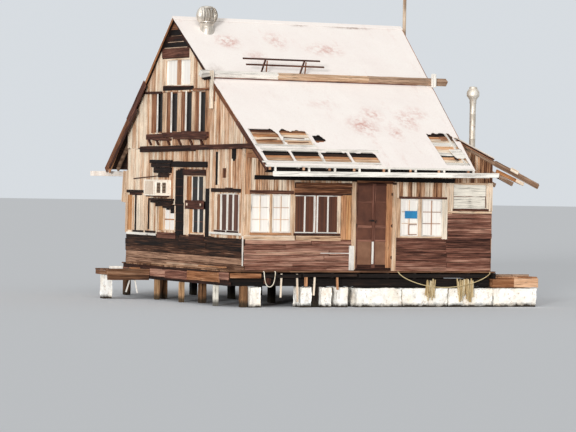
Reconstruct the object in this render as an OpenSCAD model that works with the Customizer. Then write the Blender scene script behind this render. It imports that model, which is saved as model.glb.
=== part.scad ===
// Weathered timber boathouse on piles and foam floats.
// Origin: middle of the underside of the front left pile, at the waterline.
// X runs along the front, Y to the back, Z up. All sizes are millimetres.

/* [House] */
// Depth of the house from front wall to rear wall
house_w = 6750; // [6200:10:7300]
// Height of the floor above the waterline
floor_z = 930; // [850:5:1100]
// Thickness of the timber walls
wall_t = 100; // [80:5:130]
// Height of the dark horizontal boarding above the floor
dado_h = 670; // [550:10:700]
// Thickness of the horizontal boarding
board_t = 25; // [18:1:35]
// Storey height from the floor to the top of the loft floor
storey_h = 2770; // [2700:10:2900]
// Thickness of the loft floor
loft_t = 40; // [25:1:60]
// Depth of the loft joists
loft_joist_d = 140; // [100:5:160]

/* [Front bays, left to right] */
// From the corner to the left window
corner_gap = 160; // [120:5:260]
// Width of the left window
left_win_w = 1040; // [900:10:1200]
// Wall between the left and the middle window
win_gap = 100; // [80:5:200]
// Width of the middle window
mid_win_w = 1220; // [1000:10:1400]
// Wall between the middle window and the door opening
panel_w = 426; // [380:2:600]
// Width of the door opening
door_w = 980; // [900:5:1100]
// Height of the door opening above the floor
door_h = 2030; // [1950:5:2100]
// Wall between the door opening and the right window
jamb_gap = 200; // [180:5:300]
// Width of the right window
right_win_w = 1290; // [1100:10:1500]
// From the right window to the end of the main house
end_gap = 184; // [150:2:300]
// Sill of the front windows above the floor
win_sill_h = 760; // [720:10:900]
// Height of the front windows
win_h = 960; // [800:10:1000]

/* [Left gable, front to back] */
// From the corner to the first gable window
gable_gap = 270; // [200:10:400]
// Width of the first gable window
gable_win1_w = 1200; // [1000:10:1300]
// Wall between the first and the tall gable window
gable_gap2 = 640; // [500:10:760]
// Width of the tall gable window
gable_win2_w = 820; // [700:10:900]
// Height of the tall gable window
gable_win2_h = 1400; // [1200:10:1500]
// Wall between the tall and the rear gable window
gable_gap3 = 810; // [700:10:900]
// Width of the rear gable window
gable_win3_w = 1110; // [900:10:1200]
// Height of the rear gable window
gable_win3_h = 640; // [500:10:700]
// Height of the wall openings for the loft slats
slat_h = 1000; // [800:10:1100]
// Width of the slatted loft opening
slat_w = 3120; // [2800:10:3300]
// Width of the top loft window
top_win_w = 1480; // [1200:10:1600]
// Height of the top loft window
top_win_h = 690; // [500:10:750]
// Wall from the top loft window to the ridge
apex_h = 1030; // [950:10:1200]
// How far the loft openings sit forward of the ridge
loft_shift = 170; // [0:10:250]
// Width of the slot where a gable board is missing
slot_w = 240; // [150:10:300]

/* [Rear and inner openings] */
// Width of the rear windows
rear_win_w = 1200; // [900:10:1400]
// Distance of the rear windows from the corners of the house
rear_win_gap = 600; // [400:10:900]
// From the front wall to the doorway between the two rooms
inner_door_y = 2000; // [1500:10:2400]
// Width of the doorway between the two rooms
inner_door_w = 900; // [800:10:1000]

/* [Roof] */
// Distance of the ridge behind the front wall
ridge_y = 3950; // [3700:10:4100]
// Height of the top of the roof at its front edge
eave_z = 3310; // [3200:10:3400]
// How far the front slope reaches past the front wall
eave_out = 1090; // [900:10:1200]
// Height of the top of the roof at its rear edge
rear_eave_z = 3190; // [3100:10:3300]
// How far the rear slope reaches past the rear wall
rear_out = 1000; // [800:10:1200]
// Thickness of the roof sheathing
roof_t = 30; // [20:1:45]
// Depth of the rafters
rafter_d = 110; // [90:5:140]
// Width of the rafters
rafter_w = 45; // [35:1:60]
// Largest spacing of rafters and joists
frame_pitch = 800; // [600:10:950]
// Roof past the left gable at the ridge
ridge_left = 130; // [100:5:300]
// Roof past the right gable at the ridge
ridge_right = 680; // [500:10:800]
// How far the left gable roof edge steps in at the front eave
eave_step = 45; // [0:5:90]
// Distance of the break beam from the front edge, along the slope
break_v = 3700; // [3400:10:3900]
// Side of the break beam
break_d = 150; // [120:5:180]

/* [Addition] */
// Width of the lean-to room at the right
add_l = 1110; // [950:10:1300]
// Depth of the lean-to room
add_w = 5000; // [4500:10:5300]
// Top of the lean-to roof where it meets the main house
add_top_z = 4110; // [4020:10:4120]
// Fall of the lean-to roof, millimetres in each metre
add_fall = 440; // [350:10:500]
// Reach of the bare rafters past the side wall
tail_out = 1370; // [900:10:1500]

/* [Base] */
// Side of the square piles
pile_w = 160; // [120:5:200]
// Depth of the floor beams
beam_d = 190; // [150:5:200]
// Depth of the floor joists
joist_d = 140; // [100:5:160]
// Thickness of the deck boards
deck_t = 40; // [25:1:50]
// How far the front deck reaches past the front wall
deck_out = 230; // [180:10:400]
// How far the side walkway reaches past the left gable
walk_out = 500; // [420:10:700]
// Length of the landing at the left
landing_l = 1150; // [900:10:1500]
// Depth of the landing at the left
landing_w = 750; // [720:10:1200]
// Length of the open dock at the right
dock_l = 1290; // [1000:10:1600]
// Depth of the open dock at the right
dock_w = 1250; // [1000:10:1500]
// Height of the open dock above the waterline
dock_z = 740; // [700:5:780]
// Height of the foam floats
float_h = 470; // [350:10:490]
// Depth of the foam floats
float_w = 1040; // [800:10:1200]
// Thickness of the mooring ropes
rope_d = 22; // [16:1:30]

/* [Fittings] */
// Diameter of the turbine neck
neck_d = 360; // [300:5:420]
// Diameter of the turbine head
head_d = 560; // [520:5:680]
// Height of the turbine head
head_h = 420; // [340:5:460]
// Diameter of the stove pipe
pipe_d = 160; // [120:5:180]
// Height of the stove pipe's lower end above the waterline
pipe_z = 1960; // [1600:10:2200]
// Height of the stove pipe's cap above the waterline
pipe_top_z = 5400; // [5000:10:5800]
// Diameter of the mast
mast_d = 90; // [60:5:110]
// Mast above the ridge
mast_h = 900; // [600:10:1200]
// Gap around each door leaf
door_gap = 6; // [5:1:10]
// Thickness of the door leaves
leaf_t = 35; // [30:1:45]

/* [Hidden] */
$fn = 48;
// Play between pieces that rest on each other
fit = 0.5;
// Front bays
left_win_x = corner_gap;
mid_win_x = left_win_x + left_win_w + win_gap;
door_x = mid_win_x + mid_win_w + panel_w;
right_win_x = door_x + door_w + jamb_gap;
house_l = right_win_x + right_win_w + end_gap;
win_z = floor_z + win_sill_h;
dado_z = floor_z + dado_h;
// Gable bays
gable_win2_y = gable_gap + gable_win1_w + gable_gap2;
gable_win3_y = gable_win2_y + gable_win2_w + gable_gap3;
loft_z = floor_z + storey_h;
belly_d = 250;
belly_z = loft_z - 140;
slat_z = belly_z + belly_d + 290;
top_win_z = slat_z + slat_h + 130;
loft_win_y = ridge_y - loft_shift;
ridge_z = top_win_z + top_win_h + apex_h;
sill_d = 260;
slot_z = win_z + win_h + 190;
// Roof slopes
front_run = ridge_y + eave_out;
front_rise = ridge_z - eave_z;
front_slope = front_rise / front_run;
front_a = atan(front_slope);
front_len = norm([front_run, front_rise]);
rear_run = house_w + rear_out - ridge_y;
rear_rise = ridge_z - rear_eave_z;
rear_slope = rear_rise / rear_run;
rear_a = atan(rear_slope);
rear_len = norm([rear_run, rear_rise]);
front_sheet_v = roof_t / cos(front_a);
rear_sheet_v = roof_t / cos(rear_a);
front_frame_v = (roof_t + rafter_d) / cos(front_a);
rear_frame_v = (roof_t + rafter_d) / cos(rear_a);
function front_top(y) = eave_z + (y + eave_out) * front_slope;
function rear_top(y) = ridge_z - (y - ridge_y) * rear_slope;
front_wall_z = front_top(0) - front_frame_v;
rear_wall_z = rear_top(house_w) - rear_frame_v;
// Lean-to
add_slope = add_fall / 1000;
add_a = atan(add_slope);
add_sheet_v = roof_t / cos(add_a);
add_frame_v = (roof_t + rafter_d) / cos(add_a);
add_x = house_l + add_l;
function add_top(x) = add_top_z - (x - house_l) * add_slope;
function add_wall_z(x) = add_top(x) - add_frame_v - fit;
// Base
joist_z = floor_z - wall_t - joist_d;
beam_z = joist_z - beam_d;
deck_z = joist_z + joist_d;
pile_cols = 4;
pile_rows = 4;
pile_dx = house_l / (pile_cols - 1);
pile_dy = (house_w - pile_w / 2) / (pile_rows - 1);
float_x = pile_dx * (pile_cols - 2.5) + 150;
dock_x = add_x + dock_l;
landing_y = house_w * 0.62;
rim_t = 80;
walk_end = 850;
// Doors
leaf_w = (door_w - 3 * door_gap) / 2;
post_w = 120;
post_t = 40;
leaf_h = door_h - 3 * door_gap;
// Mooring ropes, as points from their left end on the edge of the deck
rope_sides = 8;
rope_left = [[0, 0, 0], [0, -32, -4], [4, -45, -50], [14, -45, -140], [34, -45, -240], [76, -45, -325],
    [150, -45, -362], [224, -45, -325], [266, -45, -240], [286, -45, -140], [296, -45, -50], [300, -32, -4],
    [300, 0, 0]];
rope_right = [[0, 0, 0], [4, -32, -6], [30, -45, -50], [150, -45, -130], [350, -45, -215], [600, -45, -290],
    [900, -45, -345], [1275, -45, -370], [1650, -45, -345], [1950, -45, -290], [2200, -45, -215],
    [2400, -45, -130], [2520, -45, -50], [2546, -32, -6], [2550, 0, 0]];
hinge_r = 5;
big = 30000;

// A box between two opposite corners
module block(lo, hi) {
    translate(lo) cube(hi - lo);
}

// Frame of the front slope: X along the eave, Y up the slope from its edge, Z out of the roof
module on_front_slope() {
    translate([0, -eave_out, eave_z]) rotate([front_a, 0, 0]) children();
}

// Frame of the rear slope: X along the ridge, Y down the slope from the ridge, Z out of the roof
module on_rear_slope() {
    translate([0, ridge_y, ridge_z]) rotate([-rear_a, 0, 0]) children();
}

// Frame of the lean-to slope: X down the slope from the main house, Y back, Z out of the roof
module on_add_slope() {
    translate([house_l, 0, add_top_z]) rotate([0, add_a, 0]) children();
}

// What lies in front of the ridge, less a gap
module before_ridge(gap) {
    intersection() {
        children();
        block([-big, -big, -big], [big, ridge_y - gap, big]);
    }
}

// What lies behind the ridge, plus a gap
module behind_ridge(gap) {
    intersection() {
        children();
        block([-big, ridge_y + gap, -big], [big, big, big]);
    }
}

// An outline in Y and Z, made into a slab from x0 to x1
module slab_x(x0, x1) {
    translate([x0, 0, 0]) rotate([90, 0, 90]) linear_extrude(x1 - x0) children();
}

// An outline in X and Z, made into a slab from y0 to y1
module slab_y(y0, y1) {
    translate([0, y1, 0]) rotate([90, 0, 0]) linear_extrude(y1 - y0) children();
}

// A window frame with its glass, from x0 along X, seen from the front
module front_window(x0, w, z0, h, glass_y) {
    rim = 50;
    difference() {
        block([x0, -10, z0], [x0 + w, wall_t, z0 + h]);
        block([x0 + rim, -big, z0 + rim], [x0 + w - rim, glass_y, z0 + h - rim]);
        block([x0 + rim, glass_y + 12, z0 + rim], [x0 + w - rim, big, z0 + h - rim]);
    }
}

// A window frame with its glass in the left gable, from y0 along Y
module gable_window(y0, w, z0, h) {
    rim = 50;
    glass_x = 40;
    difference() {
        block([-10, y0, z0], [wall_t, y0 + w, z0 + h]);
        block([-big, y0 + rim, z0 + rim], [glass_x, y0 + w - rim, z0 + h - rim]);
        block([glass_x + 12, y0 + rim, z0 + rim], [big, y0 + w - rim, z0 + h - rim]);
    }
}

// Base
module piles() {
    color("#5b4a3d") {
        for (i = [0 : pile_cols - 1])
            for (j = [0 : pile_rows - 1])
                if (j > 0 || i < pile_cols - 2)
                    translate([i * pile_dx, j * pile_dy, beam_z / 2])
                        cube([pile_w, pile_w, beam_z], center = true);
        for (y = [gable_win3_y + 290, gable_win2_y + 500, gable_gap + 440])
            translate([-walk_out + 130, y, beam_z / 2]) cube([110, 110, beam_z], center = true);
    }
}

module floor_beams() {
    color("#6b5646")
        for (j = [0 : pile_rows - 1])
            block([-walk_out + rim_t, j * pile_dy - pile_w / 2, beam_z],
                [add_x + pile_w / 2, j * pile_dy + pile_w / 2, beam_z + beam_d]);
}

module floor_joists() {
    n = ceil(add_x / frame_pitch);
    step = (add_x - rafter_w) / n;
    color("#6b5646")
        for (i = [0 : n])
            block([i * step, -deck_out + 40, joist_z], [i * step + rafter_w, house_w, joist_z + joist_d]);
}

module house_floor() {
    color("#80654f")
        translate([0, 0, deck_z]) linear_extrude(wall_t)
            polygon([[0, 0], [add_x, 0], [add_x, add_w], [house_l, add_w], [house_l, house_w], [0, house_w]]);
}

module front_deck() {
    color("#7a5f4c")
        block([-walk_out, -deck_out, deck_z], [add_x, -board_t - 2, deck_z + deck_t]);
}

module side_walkway() {
    color("#7a5f4c")
        block([-walk_out, -board_t, deck_z], [-board_t - 2, house_w - walk_end, deck_z + deck_t]);
}

module walkway_beam() {
    color("#8a6347")
        {
            block([-walk_out, -deck_out + 40, beam_z], [-walk_out + rim_t, house_w - walk_end, deck_z]);
            block([-board_t - 100, pile_w / 2, joist_z], [-board_t - 2, house_w - walk_end, deck_z]);
        }
}

module landing() {
    x0 = -walk_out - landing_l;
    color("#6f5a4a") {
        block([x0, landing_y, 700], [-walk_out, landing_y + landing_w, 745]);
        block([x0, landing_y, 470], [-walk_out, landing_y + 50, 700]);
        block([x0 + 100, landing_y + landing_w - 335, 0], [x0 + 360, landing_y + landing_w - 75, 700]);
    }
}

dock_y = -150;

module side_dock() {
    color("#9a6a44") {
        block([add_x, dock_y, dock_z - deck_t], [dock_x, dock_y + dock_w, dock_z]);
        for (y = [dock_y, dock_y + dock_w - deck_t])
            block([add_x, y, float_h], [dock_x, y + deck_t, dock_z - deck_t]);
    }
}

module float_bearers() {
    color("#5b4a3d") {
        block([float_x, -60, float_h], [add_x, 60, beam_z]);
        block([float_x, float_w - 320, float_h], [dock_x, float_w - 200, beam_z]);
    }
}

module foam_floats() {
    billet = (dock_x - float_x) / 4;
    color("#f1efe6") {
        for (i = [0 : 3])
            block([float_x + i * billet, -140, 0], [float_x + (i + 1) * billet - 12, float_w - 140, float_h]);
        for (x = [pile_w / 2 + 20, pile_dx - pile_w / 2 - 350, pile_dx + pile_w / 2 + 20, pile_dx + 540])
            block([x, -140, 0], [x + 330, 300, beam_z]);
    }
}

// Walls
module gable_outline(front_v, rear_v) {
    polygon([[0, floor_z], [house_w, floor_z], [house_w, rear_top(house_w) - rear_v],
        [ridge_y, ridge_z - max(front_v, rear_v)], [0, front_top(0) - front_v]]);
}

module gable_hole(y0, w, z0, h) {
    block([-big, y0, z0], [big, y0 + w, z0 + h]);
}

module left_gable_wall() {
    color("#cfa98b")
        difference() {
            slab_x(0, wall_t) gable_outline(front_sheet_v + fit, rear_sheet_v + fit);
            gable_hole(gable_gap, gable_win1_w, win_z, win_h);
            gable_hole(gable_gap + gable_win1_w - 140, slot_w, slot_z, belly_z - slot_z);
            translate([0, gable_gap * 2, belly_z - 30]) rotate([0, 90, 0]) scale([1, 1.3, 1])
                cylinder(r = 130, h = big, center = true);
            gable_hole(gable_win2_y, gable_win2_w, win_z, gable_win2_h);
            gable_hole(gable_win3_y, gable_win3_w, win_z, gable_win3_h);
            gable_hole(loft_win_y - slat_w / 2, slat_w, slat_z, slat_h);
            gable_hole(loft_win_y - top_win_w / 2, top_win_w, top_win_z, top_win_h);
        }
}

module right_gable_wall() {
    color("#cfa98b")
        difference() {
            slab_x(house_l - wall_t, house_l) gable_outline(front_sheet_v + fit, rear_sheet_v + fit);
            gable_hole(inner_door_y, inner_door_w, floor_z, door_h);
        }
}

module front_wall_left() {
    color("#d2ab8c")
        difference() {
            block([wall_t, 0, floor_z], [door_x, wall_t, front_wall_z]);
            block([left_win_x, -big, win_z], [left_win_x + left_win_w, big, win_z + win_h]);
            block([mid_win_x, -big, win_z], [mid_win_x + mid_win_w, big, win_z + win_h]);
        }
}

module front_wall_over_door() {
    color("#d2ab8c") block([door_x, 0, floor_z + door_h], [door_x + door_w, wall_t, front_wall_z]);
}

module front_wall_right() {
    color("#d2ab8c")
        difference() {
            block([door_x + door_w, 0, floor_z], [house_l - wall_t, wall_t, front_wall_z]);
            block([right_win_x, -big, win_z], [right_win_x + right_win_w, big, win_z + win_h]);
        }
}

module rear_wall() {
    color("#cfa98b")
        difference() {
            block([wall_t, house_w - wall_t, floor_z], [house_l - wall_t, house_w, rear_wall_z]);
            for (x = [rear_win_gap, house_l - rear_win_gap - rear_win_w])
                block([x, 0, win_z], [x + rear_win_w, big, win_z + win_h]);
        }
}

shutter_x = house_l + 80;
shutter_w = add_l - 200;
shutter_z = dado_z + 790;
shutter_h = 560;

module addition_front_wall() {
    color("#cfa98b")
        difference() {
            slab_y(0, wall_t)
                polygon([[house_l, floor_z], [add_x, floor_z], [add_x, add_wall_z(add_x)],
                    [house_l, add_wall_z(house_l)]]);
            block([shutter_x, -big, shutter_z], [shutter_x + shutter_w, big, shutter_z + shutter_h]);
        }
}

module addition_rear_wall() {
    color("#cfa98b")
        slab_y(add_w - wall_t, add_w)
            polygon([[house_l, floor_z], [add_x, floor_z], [add_x, add_wall_z(add_x)],
                [house_l, add_wall_z(house_l)]]);
}

module addition_side_wall() {
    color("#cfa98b")
        block([add_x - wall_t, wall_t, floor_z], [add_x, add_w - wall_t, add_wall_z(add_x)]);
}

module front_lower_boards() {
    color("#6e4a3f") {
        block([0, -board_t, deck_z], [door_x - post_w, 0, dado_z]);
        block([door_x + door_w + post_w, -board_t, deck_z], [house_l, 0, dado_z]);
    }
}

module addition_lower_boards() {
    color("#6e4a3f")
        block([house_l, -board_t, deck_z], [add_x, 0, shutter_z - 60]);
}

module gable_lower_boards() {
    color("#5d4c42")
        block([-board_t, 0, deck_z], [0, house_w, dado_z]);
}

module corner_boards() {
    color("#e8dccb") {
        block([-20, 0, dado_z], [0, 90, belly_z]);
        slab_x(-20, 0)
            polygon([[house_w - 110, dado_z], [house_w + 50, dado_z], [house_w + 340, rear_eave_z + 130],
                [house_w - 110, rear_eave_z + 130]]);
    }
}

module belly_beam() {
    color("#6f5443")
        block([-90, -380, belly_z], [0, house_w - 850, belly_z + belly_d]);
}

module gable_ledges() {
    color("#4c3a30") {
        block([-90, loft_win_y - slat_w / 2 - 200, slat_z - sill_d], [0, loft_win_y + slat_w / 2 + 200, slat_z]);
        block([-60, gable_win2_y - 100, win_z + gable_win2_h + 100],
            [0, gable_win2_y + gable_win2_w + 1050, win_z + gable_win2_h + 230]);
        block([-50, gable_gap - 120, win_z + win_h], [0, gable_gap + gable_win1_w + 230, win_z + win_h + 90]);
        block([-90, gable_win3_y + 260, air_z + air_h + 50], [0, house_w - 1500, air_z + air_h + 440]);
    }
}

// Window air conditioner, above the rear gable window
air_h = 400;
air_w = 600;
air_z = win_z + gable_win3_h + 215;

// Loft
function loft_front_y() = max(wall_t, (loft_z + front_frame_v - front_top(0)) / front_slope + 60);
function loft_rear_y() = min(house_w - wall_t, ridge_y + (ridge_z - rear_frame_v - loft_z) / rear_slope - 60);

module loft_joists() {
    n = ceil((house_l - 2 * wall_t) / frame_pitch);
    step = (house_l - 2 * wall_t - rafter_w) / n;
    z1 = loft_z - loft_t;
    color("#7b6350")
        for (i = [0 : n])
            block([wall_t + i * step, wall_t, z1 - loft_joist_d],
                [wall_t + i * step + rafter_w, house_w - wall_t, z1]);
}

module loft_floor() {
    color("#80654f")
        block([wall_t, loft_front_y(), loft_z - loft_t], [house_l - wall_t, loft_rear_y(), loft_z]);
}

// Roof
rafter_n = ceil((house_l - 2 * wall_t) / frame_pitch);
rafter_x = wall_t + fit;
rafter_step = (house_l - 2 * rafter_x - rafter_w) / rafter_n;
ridge_t = 40;

module front_rafters() {
    color("#d9c8b2")
        before_ridge(ridge_t / 2)
            for (i = [0 : rafter_n])
                on_front_slope()
                    translate([rafter_x + i * rafter_step, 60, -roof_t - rafter_d])
                        cube([rafter_w, front_len + 300, rafter_d]);
}

module rear_rafters() {
    color("#a98f76")
        behind_ridge(ridge_t / 2)
            for (i = [0 : rafter_n])
                on_rear_slope()
                    translate([rafter_x + i * rafter_step, -300, -roof_t - rafter_d])
                        cube([rafter_w, rear_len + 240, rafter_d]);
}

module ridge_board() {
    z1 = ridge_z - max(front_sheet_v, rear_sheet_v) - 40;
    color("#8a715b")
        block([wall_t, ridge_y - ridge_t / 2, z1 - 180], [house_l - wall_t, ridge_y + ridge_t / 2, z1]);
}

function left_edge(v) = eave_step - (ridge_left + eave_step) * v / front_len;
function right_edge(v) = house_l + ridge_right * v / front_len;

module front_sheet(v0, v1) {
    on_front_slope()
        translate([0, 0, -roof_t]) linear_extrude(roof_t)
            polygon([[left_edge(v0), v0], [right_edge(v0), v0], [right_edge(v1), v1], [left_edge(v1), v1]]);
}

module upper_roof() {
    color("#f2ebe4") before_ridge(1) front_sheet(break_v + 1, front_len);
}

// A missing stretch of sheathing on the front slope
module bare_bay(x0, x1, v0, v1) {
    on_front_slope() block([x0, v0, -big / 10], [x1, v1, big / 10]);
}

module lower_roof() {
    color("#f2ebe4")
        difference() {
            front_sheet(0, break_v);
            bare_bay(left_edge(900) + 90, rafter_x + 2 * rafter_step, 900, 1500);
            bare_bay(left_edge(400) + 90, rafter_x + 4 * rafter_step, 240, 650);
            bare_bay(house_l * 0.875, house_l - 20, 200, 1540);
        }
}

module rear_roof() {
    color("#8d7561")
        behind_ridge(1)
            on_rear_slope()
                translate([-ridge_left, 0, -roof_t]) cube([house_l + ridge_left + 80, rear_len, roof_t]);
}

cap_w = 110;
cap_t = 12;
cap_front_z = front_top(ridge_y - cap_w) + fit;
cap_rear_z = rear_top(ridge_y + cap_w) + fit;

module ridge_cap() {
    color("#cbb9a8")
        slab_x(-ridge_left, house_l + ridge_right)
            polygon([[ridge_y - cap_w, cap_front_z], [ridge_y, ridge_z + fit], [ridge_y + cap_w, cap_rear_z],
                [ridge_y + cap_w, cap_rear_z + cap_t], [ridge_y, ridge_z + fit + cap_t],
                [ridge_y - cap_w, cap_front_z + cap_t]]);
}

beam_left = 370;
beam_right = 780;
beam_y = (break_v - break_d) * cos(front_a) - break_d * sin(front_a) - eave_out;
beam_top_z = front_top(beam_y + break_d * sin(front_a)) + break_d * cos(front_a);

module break_beam() {
    color("#8a6f5a") {
        on_front_slope()
            translate([-beam_left, break_v - break_d, 0])
                cube([house_l + beam_left + beam_right, break_d, break_d]);
        block([-140, beam_y - 40, beam_top_z - 840], [-60, beam_y + 60, beam_top_z + 80]);
        block([house_l + 320, beam_y - 60, beam_top_z - 160], [house_l + 440, beam_y + 20, beam_top_z + 190]);
    }
}

module barge_boards() {
    d = 140;
    color("#a68a72") {
        before_ridge(1) on_front_slope()
            translate([-ridge_left + 25, break_v, -roof_t - d]) cube([35, front_len + 200, d]);
        behind_ridge(1) on_rear_slope()
            translate([-ridge_left, -200, -roof_t - d]) cube([35, rear_len + 200, d]);
        on_rear_slope()
            translate([-ridge_left - 40, rear_len * 0.41, -160])
                rotate([2.5, 0, 0]) cube([40 - fit, rear_len * 0.6, 210]);
    }
}

module front_fascia() {
    z1 = eave_z - 60;
    color("#f4efe8")
        block([100, -eave_out - 30, z1 - 140], [add_x - 470, -eave_out, z1]);
}

module rear_gutter() {
    color("#f4efe8")
        block([-550, house_w + rear_out, rear_eave_z - 190],
            [house_l, house_w + rear_out + 110, rear_eave_z - 60]);
}

// Lean-to roof
add_rafter_n = 5;
add_rafter_step = (add_w - rafter_w) / add_rafter_n;

// What lies right of the main house, below the sheathing of the front slope
module beside_house() {
    difference() {
        intersection() {
            children();
            block([house_l + fit, -big, 0], [big, big, big]);
        }
        on_front_slope()
            translate([0, 0, -roof_t - fit]) linear_extrude(big)
                polygon([[-big, 0], [right_edge(0) + fit, 0], [right_edge(break_v) + fit, break_v],
                    [-big, break_v]]);
    }
}

module addition_roof() {
    color("#b89c84")
        beside_house()
            on_add_slope()
                translate([0, -120, -roof_t]) cube([add_l / cos(add_a) - 14, add_w + 240, roof_t]);
}

module addition_rafters() {
    run = (add_l + tail_out) / cos(add_a);
    color("#a08a78") {
        beside_house()
            on_add_slope()
                for (i = [0 : add_rafter_n])
                    translate([-200, i * add_rafter_step, -roof_t - rafter_d])
                        cube([run + 200, rafter_w, rafter_d]);
        // the first tail is a deeper board
        on_add_slope()
            translate([add_l / cos(add_a) + 130, 0, -roof_t - 190])
                cube([tail_out / cos(add_a) - 130, rafter_w, 200]);
    }
}

// Roof fittings
module roof_rack() {
    x0 = house_l * 0.136;
    x1 = house_l * 0.51;
    v = break_v + 100;
    color("#4d3a30")
        on_front_slope() {
            block([x0, v, 415], [x1, v + 40, 450]);
            block([x0 + 120, v - 38, 270], [x1 + 140, v + 2, 305]);
            for (x = [x0 + 570, x1 - 470])
                block([x, v, 0], [x + 40, v + 40, 415]);
        }
}

module mast_pole() {
    color("#8b8378")
        translate([add_x + mast_d / 2, 2 * pile_dy + pile_w / 2 + 40 + mast_d / 2, 0])
            cylinder(d = mast_d, h = ridge_z + mast_h);
}

module stove_pipe() {
    stand = 30;
    cowl_h = 340;
    x = add_x + pipe_d / 2 + stand;
    y = add_rafter_step + rafter_w + pipe_d / 2 + 60;
    color("#c9c9c6") {
        translate([x, y, pipe_z]) cylinder(d = pipe_d, h = pipe_top_z - cowl_h - pipe_z);
        translate([add_x, y, pipe_z + 100]) rotate([0, 90, 0])
            cylinder(d = pipe_d * 0.875, h = stand + pipe_d / 2);
        translate([x, y, pipe_top_z - cowl_h])
            rotate_extrude()
                polygon([[0, 0], [pipe_d / 2, 0], [pipe_d, cowl_h * 0.3], [pipe_d, cowl_h * 0.6],
                    [pipe_d * 0.6, cowl_h], [0, cowl_h]]);
    }
}

turbine_x = 610;
turbine_v = front_len - 520;
turbine_y = turbine_v * cos(front_a) - eave_out;
turbine_z = front_top(turbine_y) + 40;
neck_h = (neck_d / 2 + 20) * front_slope - 34;
spindle_r = 8;

module turbine_base() {
    color("#b9bcbc")
        translate([turbine_x, turbine_y, 0])
            difference() {
                union() {
                    translate([0, 0, turbine_z - 220]) cylinder(d = neck_d, h = neck_h + 220);
                    translate([0, 0, turbine_z + neck_h - 10]) cylinder(r = spindle_r, h = 290);
                }
                translate([0, 0, turbine_z - 300]) cylinder(d = neck_d - 12, h = neck_h + 280);
                translate([-turbine_x, -turbine_y, 0]) on_front_slope()
                    translate([-big, -big, -big]) cube([2 * big, 2 * big, big]);
            }
}

module turbine_rotor() {
    z0 = turbine_z + neck_h + 8;
    r = head_d / 2;
    color("#c4c7c7")
        translate([turbine_x, turbine_y, z0])
            difference() {
                rotate_extrude()
                    polygon([[0, 0], [neck_d / 2 + 20, 0], [r, head_h * 0.35], [r, head_h * 0.6],
                        [r * 0.6, head_h * 0.95], [0, head_h]]);
                translate([0, 0, -1]) cylinder(r = spindle_r + 0.05, h = 280);
            }
}

// Openings
module front_windows() {
    color("#efe6da") {
        front_window(left_win_x, left_win_w, win_z, win_h, 30);
        front_window(mid_win_x, mid_win_w, win_z, win_h, 30);
        front_window(right_win_x, right_win_w, win_z, win_h, 30);
    }
}

module addition_shutter() {
    color("#efe6da")
        block([shutter_x, -20, shutter_z], [shutter_x + shutter_w, 30, shutter_z + shutter_h]);
}

module gable_windows() {
    color("#7c5f4c") {
        gable_window(gable_gap, gable_win1_w, win_z, win_h);
        gable_window(gable_win2_y, gable_win2_w, win_z, gable_win2_h);
        gable_window(gable_win3_y, gable_win3_w, win_z, gable_win3_h);
    }
}

module loft_slat_window() {
    color("#6b5140") gable_window(loft_win_y - slat_w / 2, slat_w, slat_z, slat_h);
}

module loft_top_window() {
    color("#efe6da") gable_window(loft_win_y - top_win_w / 2, top_win_w, top_win_z, top_win_h);
}

module rear_windows() {
    color("#efe6da")
        for (x = [rear_win_gap, house_l - rear_win_gap - rear_win_w])
            translate([2 * x + rear_win_w, house_w, 0]) rotate([0, 0, 180])
                front_window(x, rear_win_w, win_z, win_h, 30);
}

module air_conditioner() {
    color("#e6dfd2")
        block([-480, gable_win3_y + 350, air_z], [0, gable_win3_y + 350 + air_w, air_z + air_h]);
}

module door_frame() {
    top = floor_z + door_h;
    color("#e9dcc8") {
        block([door_x - post_w, -post_t, deck_z + deck_t], [door_x, 0, top + 60]);
        block([door_x + door_w, -post_t, deck_z + deck_t], [door_x + door_w + post_w, 0, top + 60]);
        block([door_x, -post_t, top], [door_x + door_w, 0, top + 60]);
    }
}

// A screen door leaf hung at x = 0, closed along +X
module door_leaf() {
    rail = 70;
    z0 = floor_z + door_gap * 1.5;
    color("#5c4137") {
        difference() {
            block([door_gap, -post_t, z0], [door_gap + leaf_w, -post_t + leaf_t, z0 + leaf_h]);
            for (p = [[rail, 580], [650, 940], [1010, leaf_h - rail]])
                block([door_gap + rail, -big, z0 + p[0]], [door_gap + leaf_w - rail, -post_t + 12, z0 + p[1]]);
        }
        for (z = [z0 + 250, z0 + leaf_h / 2, z0 + leaf_h - 250]) {
            translate([door_gap / 2, -post_t - hinge_r - 1, z - 45]) cylinder(r = hinge_r, h = 90);
            block([door_gap / 2, -post_t - 3, z - 40], [door_gap + 50, -post_t, z + 40]);
        }
    }
}

module front_door_left() {
    translate([door_x, 0, 0]) door_leaf();
}

module front_door_right() {
    translate([door_x + door_w, 0, 0]) mirror([1, 0, 0]) door_leaf();
}

// Ropes
// Points of a smooth curve through the given points, n to each span
function curve_point(a, b, c, d, t) =
    0.5 * (2 * b + (c - a) * t + (2 * a - 5 * b + 4 * c - d) * t * t + (3 * b - a - 3 * c + d) * t * t * t);
function curve(p, n) = [
    for (i = [0 : len(p) - 2], k = [0 : n - 1])
        curve_point(p[max(i - 1, 0)], p[i], p[i + 1], p[min(i + 2, len(p) - 1)], k / n),
    p[len(p) - 1]];

// One ring of a rope around point i of its path, in a plane across it
function rope_ring(p, i) =
    let (d = i == 0 ? [0, -1, 0] : i == len(p) - 1 ? [0, 1, 0] : p[i + 1] - p[i - 1],
        f = d / norm(d), side = cross(f, [0, -1, 0.001]), s = side / norm(side), u = cross(s, f))
        [for (k = [0 : rope_sides - 1])
            p[i] + rope_d / 2 * (cos(k * 360 / rope_sides) * s + sin(k * 360 / rope_sides) * u)];

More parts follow.
